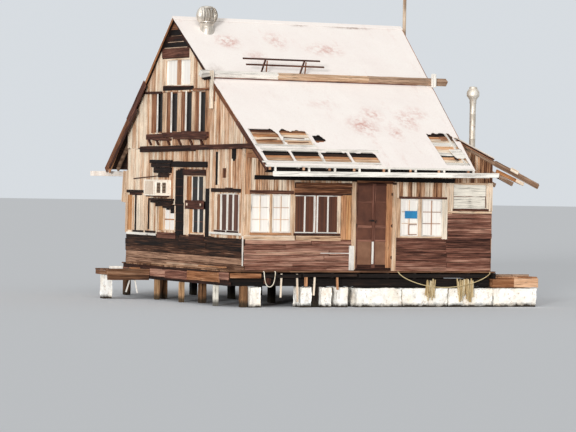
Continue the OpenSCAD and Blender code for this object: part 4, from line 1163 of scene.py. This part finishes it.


# Boards over the top of the front wall and under the bays, in rows of low, high, coat and tone; the black rows at the
# top of each run are painted shadow cast by the roof sheet above
underRoof = {
    "wall": ((3.50, 3.60, "brown", .4), (3.61, 3.70, "tan", .4), (3.71, 3.80, "brown", .2), (3.81, 3.915, "black", .3)),
    "lower": ((.33, .43, "cream", .4), (.435, .52, "tan", .5), (.525, .62, "black", .4), (.625, .78, "black", .1)),
    "worst": ((.97, 1.06, "cream", .4), (1.065, 1.15, "tan", .5), (1.155, 1.26, "cream", .6), (1.265, 1.37, "tan", .3),
              (1.375, 1.45, "cream", .3), (1.455, 1.53, "header", .4), (1.535, 1.66, "black", .3)),
    "upper": ((.97, 1.06, "cream", .7), (1.065, 1.15, "cream", .5), (1.155, 1.26, "white", .6),
              (1.265, 1.37, "cream", .8), (1.375, 1.45, "tan", .6), (1.455, 1.53, "brown", .3),
              (1.535, 1.66, "black", .3)),
    "tear": ((1.05, 1.16, "brown", .4), (1.165, 1.45, "black", .2)),
    "right": ((.28, .39, "white", .7), (.395, .50, "cream", .7), (.505, .60, "tan", .6), (.605, .66, "black", .3),
              (.665, .80, "white", .6), (.805, .93, "cream", .8), (.935, 1.05, "tan", .9), (1.055, 1.2, "white", .6),
              (1.205, 1.34, "cream", .75), (1.345, 1.44, "tan", .4), (1.445, 1.68, "black", .3)),
    "gaps": [(.05, .095), (.15, .862), (.915, 1.627), (1.68, 2.392), (2.445, 3.157)],
}


def makeUnderRoof():
    parts, inside, gaps = [], [], underRoof["gaps"]
    for z0, z1, coat, tone in underRoof["wall"]:
        for a0, a1 in ((.03, .82), (.83, 1.6), (1.61, 3.2), (4.8, 5.58)):
            wallStick(parts, "front", a0, a1, z0 + between(-.01, .01), z1, .022, .036 + between(0, .01), coat,
                      tone + between(-.2, .2), between(-.015, .015))
    build("underRoofBoards", parts, "bleached_boards", edge=.002)
    for spans, rows in ((gaps[1:], "lower"), (gaps[:2], "worst"), (gaps[2:3], "upper"), ([(1.68, 2.1)], "tear"),
                        ([(4.86, 5.6)], "right")):
        for x0, x1 in spans:
            for v0, v1, coat, tone in underRoof[rows]:
                down = -.075 + between(-.004, .004)
                stick(inside, (x0, v0, down), (x1, v1, down + .016), 0, coat, tone + between(-.12, .12),
                      (0, 0, between(-.012, .012)))
    makePiece("brokenDecking", "weathered_timber", inside, place=onFront, edge=.002, x=[
        "brown", (.2, 1.13, -.057, .75, 1.155, -.045, .1, (0, 0, .1)),
        (.95, 1.22, -.057, 1.5, 1.24, -.045, .1, (0, 0, -.06)), "orange",
        (.25, 1.28, -.057, .7, 1.31, -.045, .4, (0, 0, .25)), "brown",
        (1, 1.05, -.057, 1.55, 1.07, -.045, .2, (0, 0, .03)), (5.25, 1.3, -.057, 5.56, 1.45, -.045, .5, (0, 0, .1))])


def makeFascia():
    parts, soffit = [], []
    lay(parts, "x", [
        "white", (.1, -1.119, 3.12, 6.16, -1.092, 3.226, .98, (0, -.0095, 0)),
        (.12, -1.117, 3.108, 5.9, -1.095, 3.135, .7, (0, -.0095, 0)), "cream",
        (6.1, -1.118, 3.19, 6.24, -1.1, 3.245, .5, (0, .1, 0)), "iron",
        (6.19, -1.118, 3.12, 6.235, -1.105, 3.2, .5, (0, .3, 0))])
    for k in range(8):  # ends of the rafters in the gap over the fascia
        x = .30 + k * .74 + between(-.1, .1)
        stick(parts, (x, -1.108, 3.20), (x + .04, -1.05, 3.30), 1, "white", .9)
        stick(parts, (x - .14, -1.085, 3.23), (x - .09, -1.04, 3.30), 1, "brown", .7)
    build("frontFascia", parts, "white_paint", hides=["front_fascia"], edge=.010)
    for k in range(8):  # dark boards under the eave, some short, black as painted shade under the overhang
        y = -1.05 + k * .130
        stick(soffit, (.10 + k * .066 + between(0, .04), y, 0), (5.59 - between(0, .03), y + .124, .014), 0, "black",
              .1 + between(-.1, .1))
    # a black board along their lower edge, painted shade behind the fascia
    stick(soffit, (.11, -1.062, -.035), (5.595, -1.045, .085), 0, "black", .1)
    build("eaveSoffit", soffit, "weathered_timber", place=onFront @ Matrix.Translation((0, 1.09, -.158)), edge=.002)


makeRoofSheets()
makeRoofEdges()
makeUnderRoof()
makeFascia()
makePieces({
    "breakBeam": {"slot": "weathered_timber", "place": onFront, "edge": .008, "x": [
        "white", (-.37, 3.56, .005, 1.7, 3.695, .145, .7), "cream", (1.66, 3.558, .01, 4.2, 3.69, .14, .4), "grey",
        (4.15, 3.555, .004, 6.375, 3.692, .145, .6), "lower", (-.2, 3.55, 0, 5.6, 3.565, .03, .4), "white",
        (.1, 3.552, .05, .7, 3.562, .13, .95)]},
    "breakBeamPosts": {"slot": "weathered_timber", "hides": ["break_beam"], "edge": .006, "z": [
        "cream", (-.14, 1.665, 4.68, -.07, 1.745, 5.585, .85), "white", (5.925, 1.645, 5.36, 6.035, 1.715, 5.695, .9),
        "brown", (-.056, 1.67, 4.84, -.024, 1.73, 5.24, .2)], "x": [
        "black", (-.33, 1.66, 5.35, -.142, 1.7, 5.42, .2, (0, -.2, 0))]},
    "frontBarge": {"slot": "weathered_timber", "place": onFront, "edge": .004, "y": [
        "header", (-.103, 3.72, -.082, -.072, 6.2, -.034, .3)]},
    "rearBarge": {"slot": "weathered_timber", "place": onRear, "hides": ["barge_boards"], "edge": .008, "y": [
        "tan", (-.129, .03, -.072, -.098, 2.4, -.03, .3), "lower",
        (-.165, 2.22, -.17, -.134, 3.6, .03, .2, (.025, 0, 0)), "brown",
        (-.168, 3.5, -.12, -.136, 5.38, .04, .2, (.03, 0, 0)), "header",
        (-.16, 3, -.22, -.138, 5.2, -.1, .3, (.05, 0, 0)), "tan",
        (-.128, 3.9, -.16, -.1, 5.33, -.05, .5, (-.03, 0, 0))]},
})


def makeGutter():
    parts = []
    lay(parts, "x", [
        "gutter", (-.545, 7.752, 3.004, 5.58, 7.766, 3.128), (-.548, 7.842, 3.004, 5.58, 7.856, 3.126),
        (-.546, 7.766, 3.002, 5.58, 7.842, 3.016)], True)
    for k in range(7):
        stick(parts, (-.4 + k, 7.768, 3.108), (-.37 + k, 7.84, 3.122), 1, "white", .9, neat=True)
    build("rearGutterTrough", parts, "white_paint", hides=["rear_gutter"])


def makeLeanToRafters():
    parts = []
    for i in range(6):
        y, end = min(i * .991, 4.955), 2.54 if i == 1 else 2.68
        stick(parts, (.10, y, -.138), (end, y + .043, -.034), 0, "grey", .5 + between(-.15, .2))
    # at the front corner a deeper tail, a second tail under it and a pale block
    makePiece("leanToRafterSet", "weathered_timber", parts, place=onAdd, hides=["addition_rafters"], edge=.006, x=[
        "grey", (1.345, -.02, -.125, 2.7, .043, -.012, .35), "orange",
        (1.45, -.005, -.262, 2.2, .043, -.175, .3, (0, -.03, 0)), "cream",
        (2.05, -.01, -.245, 2.3, .043, -.165, .7, (0, -.03, 0)), (1.78, -.04, -.07, 2.02, -.02, .02, .8)])
    makePiece("leanToRake", "weathered_timber", place=onAdd, edge=.002, x=[
        "header", (.05, -.117, -.055, 1.2, -.088, -.03, .4), "brown", (.05, -.112, -.085, 1.19, -.085, -.06), "white",
        (.02, -.11, -.003, 1.18, -.03, .006, .95), (.62, -.1, -.003, 1.12, .02, .012, .95)])


def makeRack():
    parts = []
    lay(parts, "x", [
        "header", (.762, 3.802, .415, 2.856, 3.838, .448, .4), (.882, 3.764, .27, 2.996, 3.8, .303)])
    for x in (1.334, 2.388):
        lay(parts, "z", [
            "header", (x, 3.803, .004, x + .036, 3.838, .414), "brown",
            (x + .10, 3.8, 0, x + .125, 3.83, .4, .4, (0, -.22, 0))])
    build("roofRack", parts, "weathered_timber", place=onFront, hides=["roof_rack"], edge=.004)


makeGutter()
makeLeanToRafters()
makeRack()
print("stage: roof")


# Spins an outline of (radius, height) points about an upright axis
def lathe(name, outline, middle, coat, body="boathouse", hides=(), sides=40):
    points = [(middle[0] + r, middle[1], z) for r, z in outline]
    item = newObject(name, points, [(k, k + 1) for k in range(len(outline) - 1)], [])
    openEdit(item)
    bpy.ops.mesh.spin(steps=sides, angle=2 * math.pi, center=(middle[0], middle[1], 0), axis=(0, 0, 1))
    selectAll()
    bpy.ops.mesh.remove_doubles(threshold=.0002)
    bpy.ops.mesh.normals_make_consistent(inside=False)
    closeEdit()
    smoothed(item, 35)
    item.data.materials.append(finish[coat])
    finishPiece(item, name, body, hides)


turbine = {"middle": (.61, 3.5286), "neckLow": 6.47, "neckTop": 6.794, "low": 6.806, "high": 7.222, "radius": .278,
           "vanes": 22, "rows": 11, "columns": 3}


# One curved vane as a strip of points, copied round
def vaneStrip():
    z0, z1, rows, columns = turbine["low"], turbine["high"], turbine["rows"], turbine["columns"]
    points, faces = [], []
    for i in range(rows):
        t = i / (rows - 1)
        z = z0 + .02 + t * (z1 - .045 - z0 - .02)
        reach = .185 + (turbine["radius"] - .185 - .003) * math.sin(math.pi * (t * .86 + .08)) ** .8 - .02 * t
        for j in range(columns):
            part = j / (columns - 1)
            swing = math.radians(9) * part + math.radians(9) * math.sin(math.pi * t)
            out = reach - .026 * part ** 1.4
            points.append((out * math.cos(swing), out * math.sin(swing), z))
            if i and j:
                a = (i - 1) * columns + j - 1
                faces.append((a, a + 1, a + 1 + columns, a + columns))
    vane = newObject("vane", points, [], faces)
    applied(vane, "SOLIDIFY", thickness=.0022)
    return vane


def makeTurbine():
    middle, low, top = turbine["middle"], turbine["neckLow"], turbine["neckTop"]
    z0, z1 = turbine["low"], turbine["high"]
    lathe("ventNeck", [
        (0, low), (.179, low), (.179, low + .17), (.168, low + .19), (.155, top - .10), (.160, top - .09),
        (.160, top - .075), (.153, top - .065), (.160, top - .045), (.176, top - .02), (.178, top - .004),
        (.012, top - .004), (.007, top), (0, top + .004)], middle, "metal", hides=["turbine_base"])
    lathe("ventRing", [(.17, z0), (.195, z0), (.205, z0 + .012), (.205, z0 + .03), (.19, z0 + .03), (.17, z0 + .018),
                       (.17, z0)], middle, "metal", "turbine_head")
    lathe("ventCap", [(0, z1), (.06, z1 - .003), (.12, z1 - .012), (.158, z1 - .028), (.168, z1 - .05), (.16, z1 - .05),
                      (.1, z1 - .03), (0, z1 - .02)], middle, "metal", "turbine_head")
    # a narrow pale drum inside, and a band that the vanes cross
    lathe("ventDrum", [(0, z0 + .02), (.10, z0 + .02), (.115, z0 + .08), (.115, z1 - .12), (.09, z1 - .05),
                       (0, z1 - .05)], middle, "metal", "turbine_head", sides=24)
    vane, vanes = vaneStrip(), []
    for k in range(turbine["vanes"]):
        copied = vane.copy()
        copied.data = vane.data.copy()
        swing = 2 * math.pi * k / turbine["vanes"]
        copied.data.transform(Matrix.Translation((*middle, 0)) @ Matrix.Rotation(swing, 4, "Z"))
        scene.collection.objects.link(copied)
        vanes.append(copied)
    bpy.data.objects.remove(vane)
    item = joined(vanes)
    item.data.materials.append(finish["metal"])
    openEdit(item)
    bpy.ops.mesh.normals_make_consistent(inside=False)
    closeEdit()
    finishPiece(item, "ventVanes", "turbine_head", ["turbine_rotor"])


pipe = {"x": 6.82, "y": 1.176, "low": 1.965, "top": 5.06, "radius": .079, "section": .61}


def makeStovePipe():
    r, low, top, y = pipe["radius"], pipe["low"], pipe["top"], pipe["y"]
    outline = [(0, low), (r - .004, low)]
    z = low + .30
    while z < top - .25:  # sections slipped over each other
        outline += [(r - .003, z), (r + .0005, z + .006), (r + .0005, z + .018), (r - .003, z + .026)]
        z += pipe["section"]
    outline += [(r - .003, top - .10), (r + .006, top - .08), (r + .006, top), (r + .03, top + .04), (.156, top + .10),
                (.158, top + .12), (.158, top + .19), (.15, top + .21), (.10, top + .29), (.096, top + .325),
                (.03, top + .336), (0, top + .337)]
    lathe("stovePipeRun", outline, (pipe["x"], y), "pipe", hides=["stove_pipe"], sides=32)
    item = fresh(bpy.ops.mesh.primitive_cylinder_add, True, vertices=28, radius=.068, depth=.12,
                 location=(6.772, y, 2.06), rotation=(0, math.pi / 2, 0))
    openEdit(item)
    for x in (6.73, 6.745):
        cutAt((x, 0, 0), (1, 0, 0))
    selectAll()
    bpy.ops.mesh.bevel(offset=.002, segments=1, affect="EDGES")
    closeEdit()
    smoothed(item, 35)
    item.data.materials.append(finish["pipe"])
    finishPiece(item, "stovePipeElbow")
    parts = []
    for z in (3.05, 2.5):
        for side in (-.09, .07):
            stick(parts, (6.712, y + side, z), (6.79, y + side + .02, z + .03), 0, "iron", neat=True)
    build("pipeStraps", parts, "galvanised", edge=.001)


conditioner = {"low": (-.48, 4.09, 2.545), "high": (0, 4.69, 2.945), "louvre": .019,
               "vents": ((-.40, -.30), (-.25, -.15))}


def makeConditioner():
    low, high = Vector(conditioner["low"]), Vector(conditioner["high"])
    parts, brackets, size = [], [], high - low
    case = fresh(bpy.ops.mesh.primitive_cube_add, size=1, location=(low + high) / 2,
                 scale=(size.x - .004, size.y - .008, size.z - .008))
    openEdit(case)
    bpy.ops.mesh.select_mode(type="FACE")
    for axis, toward in ((0, -1), (1, -1), (1, 1)):  # sink a panel into the back and both sides
        selectAll("DESELECT")
        closeEdit()
        for face in case.data.polygons:
            face.select = face.normal[axis] * toward > .9 and face.area > .1
        bpy.ops.object.mode_set(mode="EDIT")
        bpy.ops.mesh.inset(thickness=.022, depth=0)
        bpy.ops.mesh.inset(thickness=.006, depth=-.008)
    closeEdit()
    applied(case, "BEVEL", width=.007, segments=2)
    case.data.materials.append(finish["enamel"])
    finishPiece(case, "coolerCase", hides=["air_conditioner"])
    z = low.z + .04
    while z < high.z - .05:  # louvres on the back, in darkened enamel as painted shade
        stick(parts, (low.x + .002, low.y + .04, z), (low.x + .012, high.y - .04, z + .008), 1, "enamelShade",
              neat=True)
        z += conditioner["louvre"]
    for x0, x1 in conditioner["vents"]:  # on the front side: slats in darkened enamel and a black strip behind them, both painted shade
        z = low.z + .075
        stick(parts, (x0, low.y + .0095, low.z + .07), (x1, low.y + .0125, high.z - .075), 2, "black", .3, neat=True)
        while z < high.z - .08:
            stick(parts, (x0, low.y + .004, z), (x1, low.y + .0095, z + .008), 0, "enamelShade", neat=True)
            z += .036
        for x in (x0 - .01, x1):
            stick(parts, (x, low.y + .003, low.z + .06), (x + .01, low.y + .012, high.z - .065), 2, "enamel", neat=True)
    build("coolerLouvres", parts, "enamel", edge=.0008)
    for y in (low.y + .08, high.y - .1):
        stick(brackets, (-.45, y, 2.52), (-.02, y + .04, 2.548), 0, "header", .4)
    build("coolerBearers", brackets, "weathered_timber", edge=.002)


makeTurbine()
makeStovePipe()
makeConditioner()
print("stage: metalwork")

base = {"columns": (0, 1.867, 3.733, 5.6), "rows": (0, 2.223, 4.447, 6.67), "pile": .08, "bearing": .50, "joist": .7456}
waterline = [((0, 0, 0), (0, 0, -1))]


def makePiles():
    parts, posts, half, top = [], [], base["pile"], base["bearing"]
    # the piles away from the gable end are near-black as painted shade under the floor
    for x in base["columns"]:
        for y in base["rows"]:
            if y > 0 or x < 2:
                stick(parts, (x - half, y - half, 0), (x + half, y + half, top), 2, "wetBlack" if x else "pile",
                      .25 + between(-.1, .15))
    build("housePiles", parts, "weathered_timber", hides=["piles"], edge=.014, cuts=waterline)
    for y, coat, tone in ((.71, "whitePile", .9), (2.61, "pile", .8), (4.03, "pile", .65)):
        stick(posts, (-.425, y - .055, 0), (-.315, y + .055, top), 2, coat, tone)
    return posts


def makeBeams():
    parts, joists = [], []
    # beams and joists under the floor in near-black, as painted shade
    for y in base["rows"]:
        for x0, x1 in ((-.42, 2.6), (2.62, 6.70)):
            stick(parts, (x0, y - .078, .502), (x1, y + .078, .688), 0, "wetBlack", .3 + between(-.1, .1))
    build("floorBeams", parts, "weathered_timber", hides=["floor_beams"], edge=.012)
    for k in range(10):
        x = min(k * base["joist"], 6.66)
        stick(joists, (max(x - .02, 0), -.188, .692), (min(x + .045, 6.71), 6.75, .828), 1, "wetBlack",
              .3 + between(-.1, .2))
    build("floorJoists", joists, "weathered_timber", hides=["floor_joists"], edge=.006)


posts = makePiles()
makeBeams()
makePiece("frontDeckBoards", "weathered_timber", hides=["front_deck"], edge=.004, x=[
    "deck", (-.5, -.228, .832, 1.1, -.13, .866, .25), (1.11, -.23, .832, 3, -.135, .866, .4),
    (3.02, -.226, .832, 4.9, -.13, .866, .3), (4.91, -.23, .832, 6.7, -.13, .866, .4),
    (-.48, -.125, .832, 2.1, -.03, .866, .4), (2.12, -.125, .832, 4.4, -.03, .866, .3),
    # the rim boards along the deck's edge follow; the near-black ones are painted shade
    (4.42, -.124, .832, 6.69, -.03, .866, .4), "dock", (-.45, -.222, .69, .36, -.192, .8, .3), "wetBlack",
    (.37, -.222, .7, 1.4, -.192, .78, .3), (1.45, -.222, .72, 2.9, -.192, .8, .4),
    (3, -.222, .71, 6.6, -.192, .8, .3)])


def makeWalkway():
    parts, y = [], -.022
    while y < 5.86:
        wide = between(.10, .17)
        stick(parts, (-.498 + between(0, .03), y, .832), (-.03, min(y + wide, 5.898), .868 - between(0, .006)), 0,
              "deck", .45 + between(-.25, .3))
        y += wide + .008
    build("sideWalkwayBoards", parts, "weathered_timber", hides=["side_walkway"], edge=.004)
    # the stringer is made up of short old boards of different depths, and planks lie loose along the edge
    makePiece("walkwayStringers", "weathered_timber", posts, hides=["walkway_beam"], edge=.005, cuts=waterline, y=[
        "lower", (-.498, 2.07, .56, -.46, 3.3, .77, .35), (-.498, 3.28, .58, -.46, 4.18, .76, .7), "dock",
        (-.498, .31, .57, -.46, 2.05, .8, .3), "lower", (-.498, -.18, .64, -.46, .3, .82),
        (-.498, 4.95, .57, -.46, 5.88, .74), "header", (-.5, .9, .79, -.462, 3, .828, .2),
        (-.46, -.18, .5, -.424, 5.88, .6, .15), (-.46, -.16, .6, -.424, 5.87, .7, .25),
        (-.46, -.15, .7, -.424, 5.86, .828, .2), "deck", (-.123, .09, .692, -.03, 5.88, .828, .4)])
    makePiece("loosePlanks", "weathered_timber", edge=.004, y=[
        "deck", (-.47, .6, .872, -.33, 4.2, .905, .75, (0, 0, .004)), "grey",
        (-.44, .9, .906, -.3, 3.4, .94, .8, (0, 0, -.01)), "deck", (-.45, 3.3, .872, -.31, 5.3, .9, .5, (0, 0, .012)),
        "tan", (-.46, .2, .906, -.36, 1.5, .94, .4, (0, 0, .02))])


# A block of white foam, crumbled away at its edges
def floatBlock(name, low, high, cuts, hides, bite):
    low, high = Vector(low), Vector(high)
    item = fresh(bpy.ops.mesh.primitive_cube_add, size=1, location=(low + high) / 2, scale=high - low)
    openEdit(item)
    bpy.ops.mesh.subdivide(number_cuts=cuts)
    closeEdit()
    applied(item, "SMOOTH", factor=.5, iterations=2)
    for scale, strength, kind in ((.16, bite, "CLOUDS"), (.045, bite * .5, "VORONOI")):
        grain = bpy.data.textures.new(name + kind, kind)
        grain.noise_scale = scale
        if kind == "CLOUDS":
            grain.contrast = 2.2
        applied(item, "DISPLACE", texture=grain, strength=-strength, mid_level=0., texture_coords="LOCAL")
    for vertex in item.data.vertices:  # nothing grows past the block it was cut from
        for axis in range(3):
            vertex.co[axis] = min(max(vertex.co[axis], low[axis]), high[axis])
        if vertex.co.z < low.z + .05:
            vertex.co.z = low.z
    item.data.materials.append(finish["foam"])
    smoothed(item, 50)
    finishPiece(item, name, hides=hides)


def makeLanding():
    parts, y = [], 4.19
    while y < 4.90:
        wide = between(.11, .16)
        stick(parts, (-1.625 + between(0, .03), y, .704), (-.504, min(y + wide, 4.933), .742), 0, "deck",
              .45 + between(-.25, .25))
        y += wide + .008
    lay(parts, "x", [
        "deck", (-1.625, 4.187, .472, -.51, 4.212, .6, .15), (-1.63, 4.189, .6, -.505, 4.233, .7, .45)])
    for x in (-1.6, -1.08, -.58):
        stick(parts, (x - .03, 4.24, .60), (x + .03, 4.93, .70), 1, "deck", .35)
    build("landingBoards", parts, "weathered_timber", hides=["landing"], edge=.005)
    floatBlock("landingFloat", (-1.55, 4.60, 0), (-1.29, 4.86, .70), 9, (), .03)
    makePiece("landingBlock", "white_paint", edge=.01, x=[
        "white", (-1.5, 4.26, .745, -1.18, 4.4, .81, .95), "tan", (-.95, 4.3, .745, -.7, 4.42, .78)])
    makePiece("landingBraces", "weathered_timber", z=[
        "white", (-1.05, 4.24, .16, -1.02, 4.27, .6, .9, (0, .3, 0)),
        (-.86, 4.24, .14, -.83, 4.27, .62, .8, (0, -.22, 0))])


floats = {"start": 2.95, "end": 8., "billets": 4,
          "chunks": ((.10, .43), (1.437, 1.767), (1.967, 2.297), (2.407, 2.737))}


def makeFloats():
    wide = (floats["end"] - floats["start"]) / floats["billets"]
    for k in range(floats["billets"]):
        x = floats["start"] + k * wide
        floatBlock(f"foamBillet{k}", (x, -.14, 0), (x + wide - .004, .90, .47), 26, () if k else ["foam_floats"], .035)
    for k, (x0, x1) in enumerate(floats["chunks"]):
        floatBlock(f"foamChunk{k}", (x0, -.14, 0), (x1, .30, .50), 12, (), .04)
    makePiece("floatBearers", "weathered_timber", hides=["float_bearers"], edge=.006, x=[
        # the front bearer is near-black as painted shade under the deck
        "wetBlack", (2.955, -.058, .472, 6.705, .058, .498, .3), "deck", (2.955, .722, .472, 7.998, .838, .498, .4)])


def makeSideDock():
    parts, planks, x = [], [], 6.712
    while x < 7.95:
        wide = between(.11, .16)
        stick(parts, (x, -.148 + between(0, .02), .703), (min(x + wide, 7.998), 1.098 - between(0, .03), .738), 1,
              "dock", .45 + between(-.25, .3))
        x += wide + .007
    lay(parts, "x", [
        "dock", (6.712, -.148, .48, 7.42, -.112, .698, .3), (7.3, -.15, .48, 7.998, -.118, .7, .8),
        (6.712, 1.062, .48, 7.998, 1.098, .7, .4)])
    lay(parts, "y", [
        "dock", (6.712, -.11, .48, 6.748, 1.06, .7, .4), (7.962, -.11, .48, 7.998, 1.06, .7, .4),
        (7.33, -.11, .5, 7.37, 1.06, .7, .4)])
    build("sideDockBoards", parts, "dock_boards", hides=["side_dock"], edge=.005)
    for x in (7.0, 7.5):
        stick(planks, (x, .2, .742), (x + .45, .32, .785), 0, "grey", .7)
    build("dockPlanks", planks, "dock_boards", edge=.004)


# Straw lashings beside the light sticks that hang under the front edge
def makeLashings():
    lashing = []
    for x0, x1 in ((4.82, 5.06), (5.70, 6.14)):
        for k in range(round((x1 - x0) / .028)):
            x = x0 + k * .028
            stick(lashing, (x, -.185, .12 + between(0, .2)), (x + .024, -.145, .70 - between(0, .08)), 2, "straw",
                  between(.3, .8), (between(-.05, .05), between(-.16, .16), 0))
    build("strawLashings", lashing, "weathered_timber", edge=.002)


makeWalkway()
makeLanding()
makeFloats()
makeSideDock()
makePiece("hangingSticks", "weathered_timber", z=[
    "cream", (.88, -.19, .24, .92, -.16, .8, .8, (0, .03, 0)), (1.31, -.19, .14, 1.35, -.16, .8, .7, (0, -.04, 0)),
    "tan", (1.52, -.19, .5, 1.6, -.16, .8), "cream", (1.76, -.19, .28, 1.8, -.16, .79, .8, (0, .05, 0)), "tan",
    (2.37, -.19, .42, 2.42, -.16, .8, .6, (0, -.05, 0)), "header", (.45, -.19, .55, .62, -.17, .7, .5, (0, .2, 0))])
makeLashings()
print("stage: base")

keptNodes = {
    "backing": ("left_gable_wall", "front_wall_left", "front_wall_right", "front_wall_over_door", "rear_wall",
                "right_gable_wall", "addition_front_wall", "addition_side_wall", "addition_rear_wall"),
    "inside": ("house_floor", "loft_floor", "ridge_board"), "insideY": ("loft_joists",),
    "slopeWhite": ("front_rafters",), "slopeGrey": ("rear_rafters",), "roof": ("ridge_cap",), "pole": ("mast_pole",),
}
for coat, nodes in keptNodes.items():
    for node in nodes:
        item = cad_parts[node]
        for place in item.material_slots:
            place.material = finish[coat]
        if not item.material_slots:
            item.data.materials.append(finish[coat])
print("stage: kept nodes")

pick()
bpy.ops.mesh.primitive_plane_add(size=400, location=(0, 60, -.001))
floor = bpy.context.object
floor.name = "studioFloor"
dress = newFinish("paleFloor")[1]
dress((.74, .77, .80, 1), 1, Specular_IOR_Level=0)
floor.data.materials.append(finish["paleFloor"])
